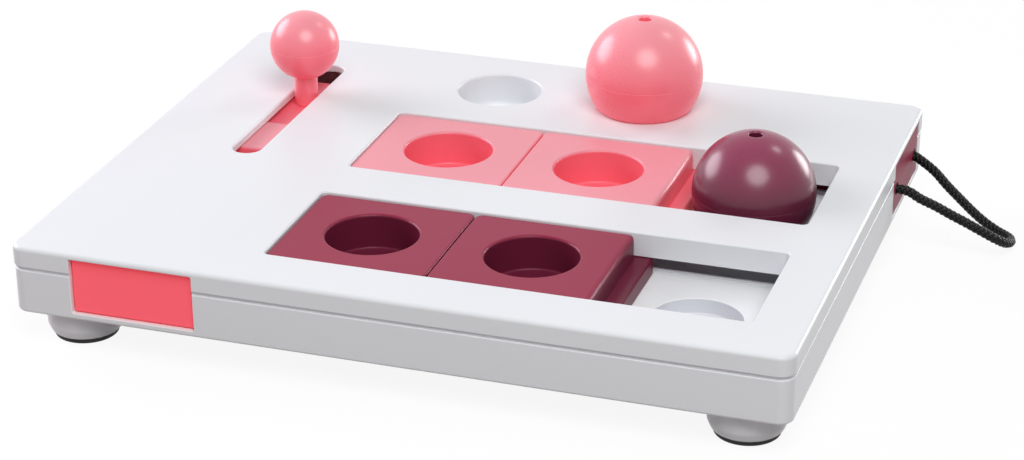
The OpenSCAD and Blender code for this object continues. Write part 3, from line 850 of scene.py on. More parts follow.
class BuildStage(bpy.types.Operator):
    """Camera, floor, background and studio lights"""

    bl_idname = "puzzle_board.build_stage"
    bl_label = "Stage"

    def execute(self, context):
        s = settings().stage
        scene = context.scene
        scene.view_settings.view_transform = "Standard"
        self.camera(scene, s)
        self.world(scene, s)
        self.floor(scene, s)
        self.lights(scene)
        return {"FINISHED"}

    @staticmethod
    def camera(scene, s):
        """Camera at the photograph's viewing angle."""
        a, e, r = s.azimuth, s.elevation, s.roll
        back = Vector((math.sin(a) * math.cos(e), -math.cos(a) * math.cos(e), math.sin(e)))
        right = Vector((math.cos(a), math.sin(a), 0))
        up = back.cross(right)
        across = math.cos(r) * right + math.sin(r) * up
        upright = -math.sin(r) * right + math.cos(r) * up
        data = bpy.data.cameras.new("camera")
        data.lens = s.lens
        data.sensor_width = 36
        data.clip_start = 0.02
        camera = bpy.data.objects.new("camera", data)
        axes = Matrix((across, upright, back)).transposed()
        camera.matrix_world = Matrix.Translation(s.place) @ axes.to_4x4()
        scene.collection.objects.link(camera)
        scene.camera = camera

    @staticmethod
    def world(scene, s):
        """White background for the eye and for reflections, and softer light from all sides."""
        world = bpy.data.worlds.new("studio")
        world.use_nodes = True
        scene.world = world
        finish = Finish(world.node_tree)
        soft, white = (
            finish.add("ShaderNodeBackground", None, {"Color": (*s.backdrop, 1), "Strength": strength})
            for strength in (s.ambient, 1.0))
        mixed = finish.mix(finish.seen(), soft["Background"], white["Background"])
        finish.add("ShaderNodeOutputWorld", None, {"Surface": mixed})

    @staticmethod
    def floor(scene, s):
        """Wide white floor that keeps the board's shadow."""
        bm = bmesh.new()
        half = 4.0
        corners = (-half, -half), (half, -half), (half, half), (-half, half)
        bm.faces.new([bm.verts.new((x, y, 0)) for x, y in corners])
        mesh = bpy.data.meshes.new("studio_floor")
        bm.to_mesh(mesh)
        bm.free()
        floor = bpy.data.objects.new("studio_floor", mesh)
        scene.collection.objects.link(floor)
        material, finish = new_finish("studio_floor")
        seen = finish.seen()
        sheet = finish.blend(seen, (*FLOOR_BOUNCE, 1), (*s.backdrop, 1))
        paper = finish.add("ShaderNodeBsdfDiffuse", None, {"Color": sheet})
        glow = finish.add("ShaderNodeEmission", None, {"Color": (*s.backdrop, 1), "Strength": 1.0})
        mixed = finish.mix(seen * FLOOR_GLOW, paper["BSDF"], glow["Emission"])
        finish.add("ShaderNodeOutputMaterial", None, {"Surface": mixed})
        mesh.materials.append(material)

    @staticmethod
    def lights(scene):
        """Soft boxes around the board: name, place, extent, power and colour."""
        boxes = (
            ("front_box", (0.34, -0.66, 0.98), (0.8, 0.8), 10.2, (1, 1, 0.99)),
            ("left_box", (-0.85, 0.2, 0.42), (0.75, 0.5), 6.3, (1, 0.92, 1)),
            ("rear_box", (0.68, 1.05, 0.2), (0.5, 0.5), 5.4, (1, 1, 1)),
            ("top_box", (0.47, 0.68, 0.95), (0.2, 0.2), 0.9, (1, 1, 1)),
        )
        for name, place, extent, power, shade in boxes:
            data = bpy.data.lights.new(name, "AREA")
            data.shape = "ELLIPSE"
            data.size, data.size_y = extent
            data.energy = power
            data.color = shade
            lamp = bpy.data.objects.new(name, data)
            lamp.location = place
            lamp.visible_camera = False
            aim = Vector((0, 0, 20 * MM)) - Vector(place)
            lamp.rotation_euler = aim.to_track_quat("-Z", "Y").to_euler()
            scene.collection.objects.link(lamp)


def travel(path):
    """Length of the way to each point of a path."""
    travelled = [0.0]
    for p, q in zip(path, path[1:]):
        travelled.append(travelled[-1] + (q - p).length)
    return travelled


def circle(sides):
    """Cosine and sine of even steps around a circle."""
    return [(math.cos(a), math.sin(a)) for a in (math.tau * k / sides for k in range(sides))]


def smooth_path(points, step):
    """Points at even steps along a smooth curve through the given ones."""
    points = [Vector(p) for p in points]
    padded = [2 * points[0] - points[1], *points, 2 * points[-1] - points[-2]]
    fine = []
    parts = 24
    for a, b, c, d in zip(padded, padded[1:], padded[2:], padded[3:]):
        for k in range(parts):
            t = k / parts
            fine.append(0.5 * (
                2 * b + (c - a) * t + (2 * a - 5 * b + 4 * c - d) * t ** 2
                + (3 * b - a - 3 * c + d) * t ** 3))
    fine.append(points[-1])
    travelled = travel(fine)
    count = max(2, round(travelled[-1] / step))
    path, i = [], 0
    for k in range(count + 1):
        goal = travelled[-1] * k / count
        while i < len(fine) - 2 and travelled[i + 1] < goal:
            i += 1
        span = travelled[i + 1] - travelled[i]
        path.append(fine[i].lerp(fine[i + 1], (goal - travelled[i]) / span if span else 0))
    return path


def path_frames(path):
    """Direction and two cross directions at each point, without twist."""
    frames = []
    aside = None
    for i in range(len(path)):
        along = (path[min(i + 1, len(path) - 1)] - path[max(i - 1, 0)]).normalized()
        if aside is None:
            aside = along.cross(Vector((0, 0, 1)))
            if aside.length < 0.1:
                aside = along.cross(Vector((0, 1, 0)))
        aside = (aside - along * aside.dot(along)).normalized()
        frames.append((along, aside, along.cross(aside)))
    return frames


def braid(bm, uv, path, diameter, strands, pitch):
    """Adds a core and two crossing sets of strands along a path."""
    frames = path_frames(path)
    travelled = travel(path)
    radius = diameter / 2
    thick = radius * 0.2
    middle_r = radius * 0.68
    weave = radius * 0.12
    slope = math.tau * middle_r / pitch
    wide = math.tau * middle_r / strands / math.hypot(1, slope) * 0.53

    def tube(rings, offset):
        rows = [[bm.verts.new(p) for p in ring] for ring in rings]
        count = len(rows[0])
        for i in range(len(rows) - 1):
            for k in range(count):
                face = bm.faces.new((
                    rows[i][k], rows[i][(k + 1) % count], rows[i + 1][(k + 1) % count], rows[i + 1][k]))
                face.smooth = True
                corners = ((k, i), (k + 1, i), (k + 1, i + 1), (k, i + 1))
                for loop, (side, step) in zip(face.loops, corners):
                    loop[uv].uv = (travelled[step] / MM, side / count + offset)
        bm.faces.new(rows[0][::-1])
        bm.faces.new(rows[-1])

    tube([
        [path[i] + middle_r * 0.9 * (c * aside + s * above) for c, s in circle(CORE_SIDES)]
        for i, (along, aside, above) in enumerate(frames)], 0)
    for hand in (1, -1):
        for strand in range(strands):
            rings = []
            for i, (along, aside, above) in enumerate(frames):
                turn = math.tau * (hand * travelled[i] / pitch + strand / strands)
                outward = math.cos(turn) * aside + math.sin(turn) * above
                around = math.cos(turn) * above - math.sin(turn) * aside
                across = (around - hand * slope * along).normalized()
                lift = middle_r + hand * weave * math.cos(math.tau * strands * travelled[i] / pitch)
                rings.append([
                    path[i] + outward * (lift + thick * s) + across * (wide * c)
                    for c, s in circle(STRAND_SIDES)])
            tube(rings, strand + 0.37 * hand)


def braided_piece(name, paths, diameter, node, finish):
    """Piece of braided cord along one or more paths."""
    s = settings().small
    bm = bmesh.new()
    uv = bm.loops.layers.uv.new("strand")
    for path in paths:
        braid(bm, uv, path, diameter, s.strands, s.braid_pitch * diameter / s.cord_d)
    mesh = bpy.data.meshes.new(name)
    bmesh.ops.recalc_face_normals(bm, faces=bm.faces)
    bm.to_mesh(mesh)
    bm.free()
    mesh.materials.append(finish)
    piece = bpy.data.objects.new(name, mesh)
    bpy.context.scene.collection.objects.link(piece)
    return dressed(piece, node)


class BuildCord(bpy.types.Operator):
    """Loop of braided cord and the knots at its ends"""

    bl_idname = "puzzle_board.build_cord"
    bl_label = "Cord"

    def execute(self, context):
        s = settings().small
        finish = braided_fibre(settings().colours.cord)
        route = [Vector(p) * MM for p in CORD_ROUTE]
        path = smooth_path(route, CORD_STEP)
        cord = braided_piece("braided_cord", [path], s.cord_d, "pull_cord", finish)
        knots = [self.knot(f"knot_{end}", f"cord_knot_{end}", finish) for end in ("front", "rear")]
        travel(path)[-1]
        return {"FINISHED"}

    @staticmethod
    def knot(name, node, finish):
        """Overhand knot pulled tight, with a short end."""
        s = settings().small
        centre = middle(node)
        thick = s.knot_r * 0.72
        reach = (s.knot_r - thick / 2) / 3
        depth = s.knot_l / 2 - thick / 2
        loop = []
        steps = 60
        for k in range(steps + 1):
            t = math.tau * k / steps
            loop.append(centre + Vector((
                -depth * math.sin(3 * t),
                reach * (math.sin(t) + 2 * math.sin(2 * t)),
                reach * (math.cos(t) - 2 * math.cos(2 * t)))))
        end = [
            centre + s.knot_l * Vector((-x, 0.12 * x, -0.2 * x * x)) for x in (0, 0.4, 0.8, 1.1)]
        paths = [smooth_path(points, KNOT_STEP) for points in (loop, end)]
        return braided_piece(name, paths, thick, node, finish)


class BuildUpperShell(bpy.types.Operator):
    """Upper shell with its windows, slot, holes and posts"""

    bl_idname = "puzzle_board.build_upper_shell"
    bl_label = "Upper shell"

    def execute(self, context):
        s, d, small = settings().housing, settings().drawers, settings().small
        seam_z = TOP_Z - s.upper_wall
        plate_z = TOP_Z - s.plate
        join_z = plate_z + SINK
        rebate = s.wall - s.tongue - s.tongue_play
        shell = plate(BOARD_L, BOARD_W, s.corner, seam_z, TOP_Z, s.seam_round, s.top_round)
        shell.without(
            plate(BOARD_L - 2 * s.wall, BOARD_W - 2 * s.wall, s.corner - s.wall,
                  seam_z - CUT, plate_z, 0, PLATE_FILLET),
            plate(BOARD_L - 2 * rebate, BOARD_W - 2 * rebate, s.corner - rebate,
                  seam_z - CUT, seam_z + s.tongue_rise + s.tongue_play))
        tracks = [middle(node).xy for node in TRACKS.values()]
        bowls = [middle(f"treat_bowl_{side}").xy for side in ("left", "right")]
        screws = screw_places()
        skirt_z = TOP_Z - s.skirt_depth
        added = [
            plate(s.window_l + 2 * s.skirt, s.window_w + 2 * s.skirt, s.window_corner + s.skirt,
                  skirt_z, join_z, INNER_EDGE).at(x, y) for x, y in tracks]
        boss_z = UPPER[0].z
        added += [bar(s.boss_r, boss_z, join_z, EDGE).at(x, y) for x, y in screws]
        shell.joined(*added)
        cuts = [
            window_cut(s.window_l, s.window_w, s.window_corner, skirt_z - CUT, TOP_Z, s.window_rim).at(x, y)
            for x, y in tracks]
        cuts += [hole_cut(s.bowl_r, plate_z - CUT, TOP_Z, s.bowl_rim).at(x, y) for x, y in bowls]
        pilot, pilot_depth = small.shank_r - THREAD_BITE, 10 * MM
        cuts += [bar(pilot, boss_z - CUT, boss_z + pilot_depth).at(x, y) for x, y in screws]
        stem = middle("lever_knob")
        slot_r = d.stem_r + d.slot_play
        slot_l = d.slot_ahead + d.slot_behind
        # Its ends stop just short of half circles, so that no two points fall together
        end_r = slot_r * 0.999
        slot = window_cut(2 * slot_r, slot_l, end_r, plate_z - CUT, TOP_Z, d.slot_rim)
        cuts.append(slot.at(stem.x, stem.y + (d.slot_behind - d.slot_ahead) / 2))
        cuts += opening_cutters(0)
        shell.without(*cuts)
        shell.piece("upper_shell", "top_shell", "white_plastic", white_plastic())
        return {"FINISHED"}


class BuildBowls(bpy.types.Operator):
    """Treat bowls under their holes in the upper shell"""

    bl_idname = "puzzle_board.build_bowls"
    bl_label = "Bowls"

    def execute(self, context):
        for side in ("left", "right"):
            self.bowl(f"bowl_{side}", f"treat_bowl_{side}")
        return {"FINISHED"}

    @staticmethod
    def bowl(name, node):
        """One bowl with a rounded bottom, and a flange that is welded to the plate."""
        s = settings().housing
        low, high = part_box(node)
        centre = middle(node)
        outer, flange = s.bowl_r + s.bowl_wall, (high.x - low.x) / 2
        flange_z = high.z - s.bowl_flange
        inner_z = low.z + s.bowl_wall
        bowl = turned(rounded(
            [(0, low.z), (outer, low.z), (outer, flange_z), (flange, flange_z), (flange, high.z),
             (s.bowl_r, high.z), (s.bowl_r, inner_z), (0, inner_z)],
            [0, s.bowl_fillet + s.bowl_wall, 2 * EDGE, EDGE, EDGE, 0, s.bowl_fillet, 0]))
        bowl.at(centre.x, centre.y)
        bowl.piece(name, node, "white_plastic", white_plastic())


class BuildLowerShell(bpy.types.Operator):
    """Lower shell with its feet, bosses, rails and recesses"""

    bl_idname = "puzzle_board.build_lower_shell"
    bl_label = "Lower shell"

    def execute(self, context):
        s, d, small = settings().housing, settings().drawers, settings().small
        low_z = underside()
        floor_z = low_z + s.floor
        seam_high = TOP_Z - s.upper_wall
        seam_low = seam_high - s.seam
        tongue = s.wall - s.tongue
        shell = plate(
            BOARD_L - 2 * s.inset, BOARD_W - 2 * s.inset, s.corner - s.inset,
            low_z, seam_low, s.low_round, s.seam_round)
        shell.joined(plate(
            BOARD_L - 2 * tongue, BOARD_W - 2 * tongue, s.corner - tongue,
            seam_low - SINK, seam_high + s.tongue_rise, 0, EDGE))
        shell.without(plate(
            BOARD_L - 2 * s.wall, BOARD_W - 2 * s.wall, s.corner - s.wall, floor_z, TOP_Z, FLOOR_FILLET))
        feet = [middle(f"foot_pad_{foot}").xy for foot in FEET]
        screws = screw_places()
        boss_z = low_z + s.boss_h
        added = [self.foot(small, low_z).at(x, y) for x, y in feet]
        added += [bar(s.boss_r, low_z + SINK, boss_z, 0, EDGE).at(x, y) for x, y in screws]
        added += self.ribs(s, d, floor_z)
        shell.joined(*added)
        cuts = [bar(small.foot_r - small.foot_wall, small.pad_t - CUT, low_z).at(x, y) for x, y in feet]
        deep_z, deep_r = low_z + small.sink_depth, small.head_r + SCREW_PLAY
        mouth_r = deep_r + INNER_EDGE
        for x, y in screws:
            recess = turned([
                (0, deep_z), (deep_r, deep_z), (deep_r, low_z + INNER_EDGE),
                (mouth_r, low_z - TINY), (mouth_r, low_z - CUT), (0, low_z - CUT)])
            cuts.append(recess.at(x, y))
            cuts.append(bar(small.shank_r + SCREW_PLAY, low_z, boss_z + CUT).at(x, y))
        cuts += opening_cutters(s.inset)
        shell.without(*cuts)
        shell.piece("lower_shell", "bottom_shell", "white_plastic", white_plastic())
        return {"FINISHED"}

    @staticmethod
    def foot(small, low_z):
        """Round foot that draws in towards its pad, with a small fillet under the housing."""
        radius, pad_z = small.foot_r, small.pad_t
        flare = radius + 2 * FOOT_FILLET
        return turned(rounded(
            [(0, pad_z), (radius - small.foot_taper, pad_z), (radius, pad_z + small.foot_curve),
             (radius, low_z + HAIR), (flare, low_z + HAIR), (flare, low_z + SINK), (0, low_z + SINK)],
            [0, FOOT_FILLET, small.foot_curve, FOOT_FILLET, 0, 0, 0]))

    @staticmethod
    def ribs(s, d, floor_z):
        """Rails and runners of both drawers, and fences at the ends of the trays."""
        ribs = []
        rail_t, rail_h, runner_t, runner_inset = 1.2 * MM, 8 * MM, 2 * MM, 8 * MM
        fence_half, fence_gap = 0.6 * MM, 0.8 * MM
        rail_x = d.opening_w / 2 + d.ear + RAIL_PLAY
        runner_x = d.opening_w / 2 - runner_inset
        panel_low = underside() + d.opening_sill + d.gap
        ends = (
            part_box("lever_slide")[1].y + BOARD_W / 2,
            BOARD_L / 2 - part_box("cord_drawer")[0].x,
        )
        for (place, turn), end in zip(opening_places(), ends):
            for side in (-1, 1):
                spans = (
                    (rail_x, rail_x + rail_t, s.wall - SINK, floor_z + rail_h),
                    (runner_x, runner_x + runner_t, s.wall + CUT, panel_low - RUNNER_PLAY),
                )
                for near, far, front, high in spans:
                    left, right = sorted((side * near, side * far))
                    rib = box_between((left, front, floor_z - SINK), (right, end, high))
                    ribs.append(rib.at(place.x, place.y, 0, turn))
        for tray in TRACKS.values():
            low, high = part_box(tray)
            y = middle(tray).y
            for x in (low.x - fence_gap, high.x + fence_gap):
                ribs.append(box_between(
                    (x - fence_half, y - s.window_w / 4, floor_z - SINK),
                    (x + fence_half, y + s.window_w / 4, floor_z + s.dish_depth + SINK)))
        return ribs


class BuildTrays(bpy.types.Operator):
    """Trays with the running floors and dishes of both tracks"""

    bl_idname = "puzzle_board.build_trays"
    bl_label = "Trays"

    def execute(self, context):
        for name, node in TRACKS.items():
            self.tray(name, node)
        return {"FINISHED"}

    @staticmethod
    def tray(name, node):
        """One tray."""
        s = settings().housing
        low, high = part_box(node)
        centre = middle(node)
        length, width = high.x - low.x, high.y - low.y
        track_z = low.z + s.tray_wall + s.dish_depth
        under_z = track_z - s.tray_floor
        inner_l, inner_w = length - 2 * s.tray_wall, width - 2 * s.tray_wall
        tray = plate(length, width, s.tray_wall, low.z, high.z, EDGE, EDGE)
        tray.without(
            plate(inner_l, inner_w, s.tray_wall / 2, track_z, high.z + CUT, EDGE / 2),
            plate(inner_l, inner_w, s.tray_wall / 2, low.z - CUT, under_z, 0, INNER_EDGE))
        cup_l = settings().sliders.length
        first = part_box("maroon_slider_left")[1].x - cup_l / 2
        places = [first + i * (cup_l + SLIDER_GAP) - centre.x for i in range(3)]
        tray.joined(*[
            bar(s.dish_r + s.tray_wall, low.z, under_z + SINK, s.tray_wall).at(x) for x in places])
        tray.without(*[
            pocket(s.dish_r, s.dish_depth, s.dish_rim, s.dish_fillet, track_z).at(x) for x in places])
        tray.at(centre.x, centre.y)
        tray.piece(name, node, "white_plastic", tray_plastic())


class BuildSliders(bpy.types.Operator):
    """Sliding treat cups of both tracks"""

    bl_idname = "puzzle_board.build_sliders"
    bl_label = "Sliders"

    def execute(self, context):
        for shade, finish in (("maroon", maroon_plastic()), ("pink", pink_plastic())):
            for side in ("left", "right"):
                self.slider(f"{shade}_cup_{side}", f"{shade}_slider_{side}", side, f"{shade}_plastic", finish)
        return {"FINISHED"}

    @staticmethod
    def slider(name, node, side, slot, finish):
        """One slider, with its lip end away from its neighbour."""
        s = settings().sliders
        low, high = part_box(node)
        x = low.x + s.length / 2 if side == "right" else high.x - s.length / 2
        lip_z = low.z + s.lip_height

        def form(grow, top, lip_top, base, top_round, lip_round):
            length, width, corner = s.length + 2 * grow, s.width + 2 * grow, s.corner + grow
            block = plate(length, width, corner, base, top, FINE_EDGE, top_round)
            lips = plate(
                length + s.lip_l, width + 2 * s.lip_w, corner, base, lip_top, FINE_EDGE, lip_round)
            return block.joined(lips.at(s.lip_l / 2))

        outer = form(0, high.z, lip_z, low.z, s.top_round, s.lip_round)
        hollow = form(
            -s.wall, high.z - s.wall, lip_z - s.wall, low.z - CUT, FINE_EDGE, FINE_EDGE)
        hollow.without(bar(s.cup_r + s.wall, low.z - 2 * CUT, high.z))
        outer.without(hollow)
        outer.without(pocket(s.cup_r, s.cup_depth, s.cup_rim, s.cup_fillet, high.z))
        if side == "right":
            # The free end has a wider rounding
            r, wide = s.end_round, s.width
            near, under = s.length / 2 - r, high.z - r
            edge = box_between((near, -wide, under), (near + r + CUT, wide, high.z + CUT), HAIR)
            roll = bar(r, -2 * wide, 2 * wide).at(near, 0, under, LYING)
            outer.without(edge.without(roll))
        outer.at(x, middle(node).y, 0, turned_by(0 if side == "right" else math.pi))
        outer.piece(name, node, slot, finish)


def ball_outline(radius, centre_z, low_angle, high_angle, groove):
    """Outline of a ball between two angles from its equator, with a fine mould line at the equator."""
    half_width = LINE_HALF / radius
    angles = [low_angle + (high_angle - low_angle) * k / BALL_STEPS for k in range(BALL_STEPS + 1)]
    angles = [a for a in angles if abs(a) > 2.5 * half_width]
    angles = sorted(angles + [k * half_width for k in range(-2, 3)])
    outline = []
    for a in angles:
        out = radius - groove if abs(a) < half_width / 2 else radius
        outline.append(Vector((out * math.cos(a), centre_z + radius * math.sin(a))))
    return outline


class BuildDomes(bpy.types.Operator):
    """Hollow lift-off domes"""

    bl_idname = "puzzle_board.build_domes"
    bl_label = "Domes"

    def execute(self, context):
        finishes = {"pink": pink_plastic("polished"), "maroon": maroon_plastic("polished")}
        for shade, finish in finishes.items():
            self.dome(f"{shade}_cover", f"{shade}_dome", f"{shade}_plastic", finish)
        return {"FINISHED"}

    @staticmethod
    def dome(name, node, slot, finish):
        """One dome: a ball cut flat at its foot, with a small hole on top."""
        s = settings().sliders
        rise = math.sqrt(s.dome_r ** 2 - s.dome_base ** 2)
        inner_r = s.dome_r - s.dome_wall
        foot = math.asin(rise / s.dome_r)
        outer_top = math.acos((s.vent + VENT_ROUND) / s.dome_r)
        outer = ball_outline(s.dome_r, rise, -foot, outer_top, s.mould_line)
        crown = outer[-1].y
        hole = [
            Vector((s.vent + VENT_ROUND * (1 - math.sin(a)), crown - VENT_ROUND * (1 - math.cos(a)) * 0.9))
            for a in (math.pi / 2 * k / ARC_STEPS for k in range(1, ARC_STEPS + 1))]
        inner_foot = math.asin(rise / inner_r)
        inner_top = math.acos(s.vent / inner_r)
        step = (inner_top + inner_foot) / HOLLOW_STEPS
        inner = [
            Vector((inner_r * math.cos(a), rise + inner_r * math.sin(a)))
            for a in (inner_top - step * k for k in range(HOLLOW_STEPS + 1))]
        outline = outer + hole + inner
        # The foot's edge is broken
        outline[0] = outline[0] + Vector((-DOME_EDGE, 0))
        outline.insert(1, Vector((s.dome_base + 0.12 * MM, DOME_EDGE)))
        dome = turned(outline, closed=True)
        centre = middle(node)
        dome.at(centre.x, centre.y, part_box(node)[0].z)
        dome.piece(name, node, slot, finish)


def drawer_box(recess, rear, ears):
    """Drawer before it is hollowed: panel, box and, where asked for, ears; +Y runs into the housing."""
    d = settings().drawers
    half = d.opening_w / 2 - d.gap
    low = underside() + d.opening_sill + d.gap
    high = TOP_Z - d.opening_top - d.gap
    panel = plate(2 * half, high - low, d.panel_corner, -d.panel, 0, FINE_EDGE, d.panel_round)
    panel.at(0, recess, (low + high) / 2, LYING)
    parts = [lying_bar(recess + d.panel / 2, rear, low, deck_height())]
    if ears:
        parts.append(drawer_ears(rear, low, deck_height()))
    return panel.joined(*parts)


def lying_bar(front, rear, low, high):
    """Bar as wide as a drawer that runs into the housing."""
    d = settings().drawers
    half = d.opening_w / 2 - d.gap
    bar_form = plate(2 * half, high - low, d.panel_corner * 0.7, -rear, -front, EDGE, EDGE)
    return bar_form.at(0, 0, (low + high) / 2, LYING)


def drawer_ears(rear, low, high):
    """Ears at a drawer's rear end."""
    d = settings().drawers
    reach = d.opening_w / 2 + d.ear
    return box_between((-reach, rear - d.wall, low), (reach, rear, high), EDGE)


def drawer_hollow(front, rear, low):
    """Cutter for the space in a drawer, above the height of its underside."""
    d = settings().drawers
    inner = d.opening_w / 2 - d.gap - d.wall
    space = plate(2 * inner, rear - front, HOLLOW_CORNER, low + d.wall, TOP_Z, HOLLOW_ROUND)
    return space.at(0, (front + rear) / 2)


def deck_height():
    """Height of a drawer's upper edges."""
    return TOP_Z - settings().housing.plate - settings().drawers.deck_play


class BuildLever(bpy.types.Operator):
    """Lever drawer, the slide behind it, the ball lever and its screw"""

    bl_idname = "puzzle_board.build_lever"
    bl_label = "Lever and drawer"

    def execute(self, context):
        d = settings().drawers
        self.drawer(d)
        self.slide(d)
        self.knob(d)
        self.screw()
        return {"FINISHED"}

    @staticmethod
    def drawer(d):
        """Drawer behind the opening in the front face."""
        low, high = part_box("lever_drawer")
        place = opening_places()[0][0]
        front = d.lever_recess + d.panel
        drawer = drawer_box(d.lever_recess, high.y - place.y, False)
        drawer.without(drawer_hollow(front, front + d.compartment, low.z))
        drawer.at(place.x, place.y)
        drawer.piece("lever_drawer_body", "lever_drawer", "pink_plastic", pink_plastic("panel"))

    @staticmethod
    def slide(d):
        """Slide that carries the lever, with a raised deck that shows in the slot."""
        low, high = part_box("lever_slide")
        stem = middle("lever_knob")
        place = opening_places()[0][0]
        inner = d.opening_w / 2 - d.gap - d.wall
        front, rear = low.y - place.y, high.y - place.y
        stem_y = stem.y - place.y
        raised_front, raised_rear = stem_y - d.raised_ahead, stem_y - d.step_ahead
        rear_z = deck_height() - d.deck_step
        front_z = deck_height() - d.front_drop
        wide = d.opening_w
        slide = lying_bar(front, rear, low.z, rear_z)
        slide.joined(drawer_ears(rear, low.z, rear_z))
        slide.without(box_between(
            (-wide, front - wide, front_z), (wide, raised_front + CUT, TOP_Z + wide), EDGE))
        deck = plate(
            2 * inner, raised_rear - raised_front, HOLLOW_CORNER,
            front_z - SINK, deck_height(), 0, d.raised_round)
        slide.joined(deck.at(0, (raised_front + raised_rear) / 2))
        slide.without(
            box_between(
                (-inner, front + d.wall, low.z - wide), (inner, raised_rear, front_z - d.deck), INNER_EDGE),
            bar(d.spigot_r + FIT_PLAY, low.z - CUT, TOP_Z).at(stem.x - place.x, stem_y))
        slide.without(box_between(
            (-inner, raised_rear - CUT, low.z - wide), (inner, rear - d.wall, rear_z - d.deck), INNER_EDGE))
        slide.at(place.x, place.y)
        slide.piece("lever_slide_body", "lever_slide", "pink_plastic", pink_plastic("slide"))

    @staticmethod
    def knob(d):
        """Ball on its stem, with a spigot that goes through the deck."""
        low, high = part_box("lever_knob")
        seat_z = low.z + d.deck
        ball_z = high.z - d.knob_r
        neck = math.asin((d.stem_r + d.stem_fillet) / d.knob_r)
        line = settings().sliders.mould_line
        ball = ball_outline(d.knob_r, ball_z, neck - math.pi / 2, math.pi / 2, line)
        ball[-1] = Vector((0, high.z))
        fillet = []
        for k in range(ARC_STEPS):
            a = math.pi / 2 * k / ARC_STEPS
            fillet.append((
                d.stem_r + d.stem_fillet * (1 - math.cos(a)),
                ball[0].y - d.stem_fillet * (1 - math.sin(a)) * 0.9))
        bore_r, bore_z = 1.1 * MM, low.z + 15 * MM
        knob = turned([
            (0, bore_z), (bore_r, bore_z), (bore_r, low.z), (d.spigot_r, low.z), (d.spigot_r, seat_z),
            (d.stem_r - EDGE, seat_z), (d.stem_r, seat_z + EDGE), *fillet, *ball])
        centre = middle("lever_knob")
        knob.at(centre.x, centre.y)
        knob.piece("ball_lever", "lever_knob", "pink_plastic", pink_plastic("polished"))

    @staticmethod
    def screw():
        """Screw that holds the lever from below."""
        low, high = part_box("lever_screw")
        centre = middle("lever_screw")
        head_h, shank_r = 2 * MM, 1.25 * MM
        made = screw_form((high.x - low.x) / 2, head_h, shank_r, high.z - low.z - head_h)
        made.at(centre.x, centre.y, low.z)
        made.piece("lever_fixing_screw", "lever_screw", "steel", plated_steel(settings().colours.steel))


class BuildCordDrawer(bpy.types.Operator):
    """Drawer that the cord loop pulls"""

    bl_idname = "puzzle_board.build_cord_drawer"
    bl_label = "Cord drawer"

    def execute(self, context):
        d, small = settings().drawers, settings().small
        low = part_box("cord_drawer")[0]
        place, turn = opening_places()[1]
        front = d.cord_recess + d.panel
        rear = BOARD_L / 2 - low.x
        drawer = drawer_box(d.cord_recess, rear, True)
        drawer.without(drawer_hollow(front, rear - d.wall, low.z))
        hole_r = small.cord_d / 2 + CORD_PLAY
        holes = []
        for node in ("cord_knot_front", "cord_knot_rear"):
            centre = middle(node)
            hole = hole_cut(hole_r, -front - CUT, -d.cord_recess, CORD_HOLE_RIM)
            holes.append(hole.at(centre.y - place.y, 0, centre.z, LYING))
        drawer.without(*holes)
        drawer.at(place.x, place.y, 0, turn)
        drawer.piece("cord_drawer_body", "cord_drawer", "maroon_plastic", maroon_plastic("panel"))
        return {"FINISHED"}


class BuildPads(bpy.types.Operator):
    """Rubber pads under the feet"""

    bl_idname = "puzzle_board.build_pads"
    bl_label = "Pads"

    def execute(self, context):
        s = settings().small
        finish = foot_rubber(settings().colours.rubber)
        for foot in FEET:
            node = f"foot_pad_{foot}"
            low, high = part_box(node)
            centre = middle(node)
            pad = self.pad(s, s.foot_r - s.foot_taper - PAD_INSET, high.z)
            pad.at(centre.x, centre.y, low.z)
            pad.piece(f"pad_{foot}", node, "rubber", finish)
        return {"FINISHED"}

    @staticmethod
    def pad(s, radius, height):
        """Round pad with grip rings below and a plug above."""
        plug = s.foot_r - s.foot_wall - FIT_PLAY
        ring_w, ring_depth, flank, ring_round = 0.08, 0.3 * MM, 0.1 * MM, 0.08 * MM
        points, rounds = [(0, 0)], [0]
        for ring in (0.25, 0.45, 0.65):
            near, far = radius * ring, radius * (ring + ring_w)
            points += [(near, 0), (near + flank, ring_depth), (far - flank, ring_depth), (far, 0)]
            rounds += [ring_round] * 4
        points += [(radius, 0), (radius, s.pad_t), (plug, s.pad_t), (plug, height), (0, height)]
        rounds += [s.pad_round, FINE_EDGE, 0, INNER_EDGE, 0]
        return turned(rounded(points, rounds))


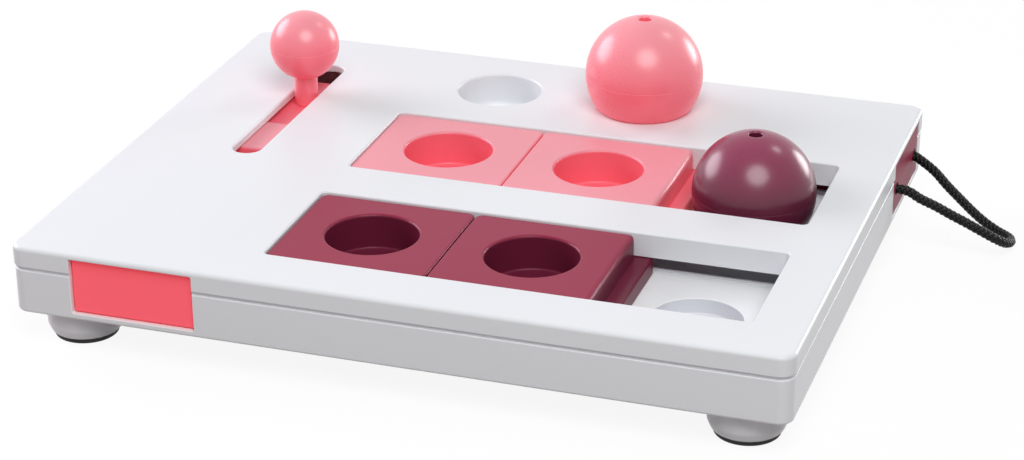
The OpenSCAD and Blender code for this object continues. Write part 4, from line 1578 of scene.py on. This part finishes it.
def screw_form(head_r, head_h, shank_r, shank_l):
    """Screw with a rounded head below, a cross recess and a thread that runs upward."""
    thread_pitch, thread = 0.9 * MM, 0.22 * MM
    turns = int(shank_l / thread_pitch)
    pitch = shank_l / (turns + 1)
    root_r, tip_z = shank_r - thread, head_h + shank_l
    outline = rounded(
        [(0, 0), (head_r * 0.6, HAIR), (head_r, head_h * 0.45), (head_r, head_h), (shank_r, head_h)],
        [0, head_r * 0.5, head_h * 0.15, 0.1 * MM, 0])
    for k in range(turns):
        base = head_h + (k + 0.3) * pitch
        outline += [
            (root_r, base), (shank_r, base + 0.35 * pitch),
            (shank_r, base + 0.45 * pitch), (root_r, base + 0.8 * pitch)]
    form = turned([*outline, (shank_r * 0.4, tip_z - HAIR), (0, tip_z)])
    wide, narrow, depth = head_r * 1.15, head_r / 4, head_h * 0.55
    bars = []
    for angle in (0, math.pi / 2):
        bars.append(skin([
            rect_ring(wide * 0.55, narrow * 0.7, narrow * 0.1, depth),
            rect_ring(wide, narrow, narrow * 0.1, -SINK)]).at(turn=turned_by(angle)))
    return form.without(*bars)


class BuildScrews(bpy.types.Operator):
    """Screws that join the two shells"""

    bl_idname = "puzzle_board.build_screws"
    bl_label = "Housing screws"

    def execute(self, context):
        s = settings().small
        low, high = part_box("housing_screws")
        screws = []
        for i, (x, y) in enumerate(screw_places()):
            made = screw_form(s.head_r, s.head_h, s.shank_r, high.z - low.z - s.head_h)
            screws.append(made.at(x, y, low.z, turned_by(0.7 * i)))
        screws[0].joined(*screws[1:])
        screws[0].piece("shell_screws", "housing_screws", "steel", plated_steel(settings().colours.steel))
        return {"FINISHED"}


class PuzzleBoardPanel(bpy.types.Panel):
    """Settings and operators of the puzzle board"""

    bl_idname = "VIEW3D_PT_puzzle_board"
    bl_label = "Puzzle Board"
    bl_space_type = "VIEW_3D"
    bl_region_type = "UI"
    bl_category = "Puzzle Board"

    def draw(self, context):
        for operator in OPERATORS:
            self.layout.operator(operator.bl_idname)
        for name, group in GROUPS.items():
            box = self.layout.box()
            box.label(text=group.__doc__)
            for prop in group.__annotations__:
                box.prop(getattr(context.scene.puzzle_board, name), prop)


OPERATORS = (
    BuildStage, BuildCord, BuildUpperShell, BuildBowls, BuildLowerShell, BuildTrays, BuildSliders,
    BuildDomes, BuildLever, BuildCordDrawer, BuildPads, BuildScrews,
)
CLASSES = (*GROUPS.values(), BoardSettings, *OPERATORS, PuzzleBoardPanel)


def register():
    """Registers the classes and the settings."""
    for cls in CLASSES:
        bpy.utils.register_class(cls)
    bpy.types.Scene.puzzle_board = PointerProperty(type=BoardSettings)


def unregister():
    """Removes the settings and the classes."""
    del bpy.types.Scene.puzzle_board
    for cls in reversed(CLASSES):
        bpy.utils.unregister_class(cls)


def main():
    """Builds the whole board."""
    register()
    for operator in OPERATORS:
        group, name = operator.bl_idname.split(".")
        getattr(getattr(bpy.ops, group), name)()


if __name__ == "__main__":
    main()
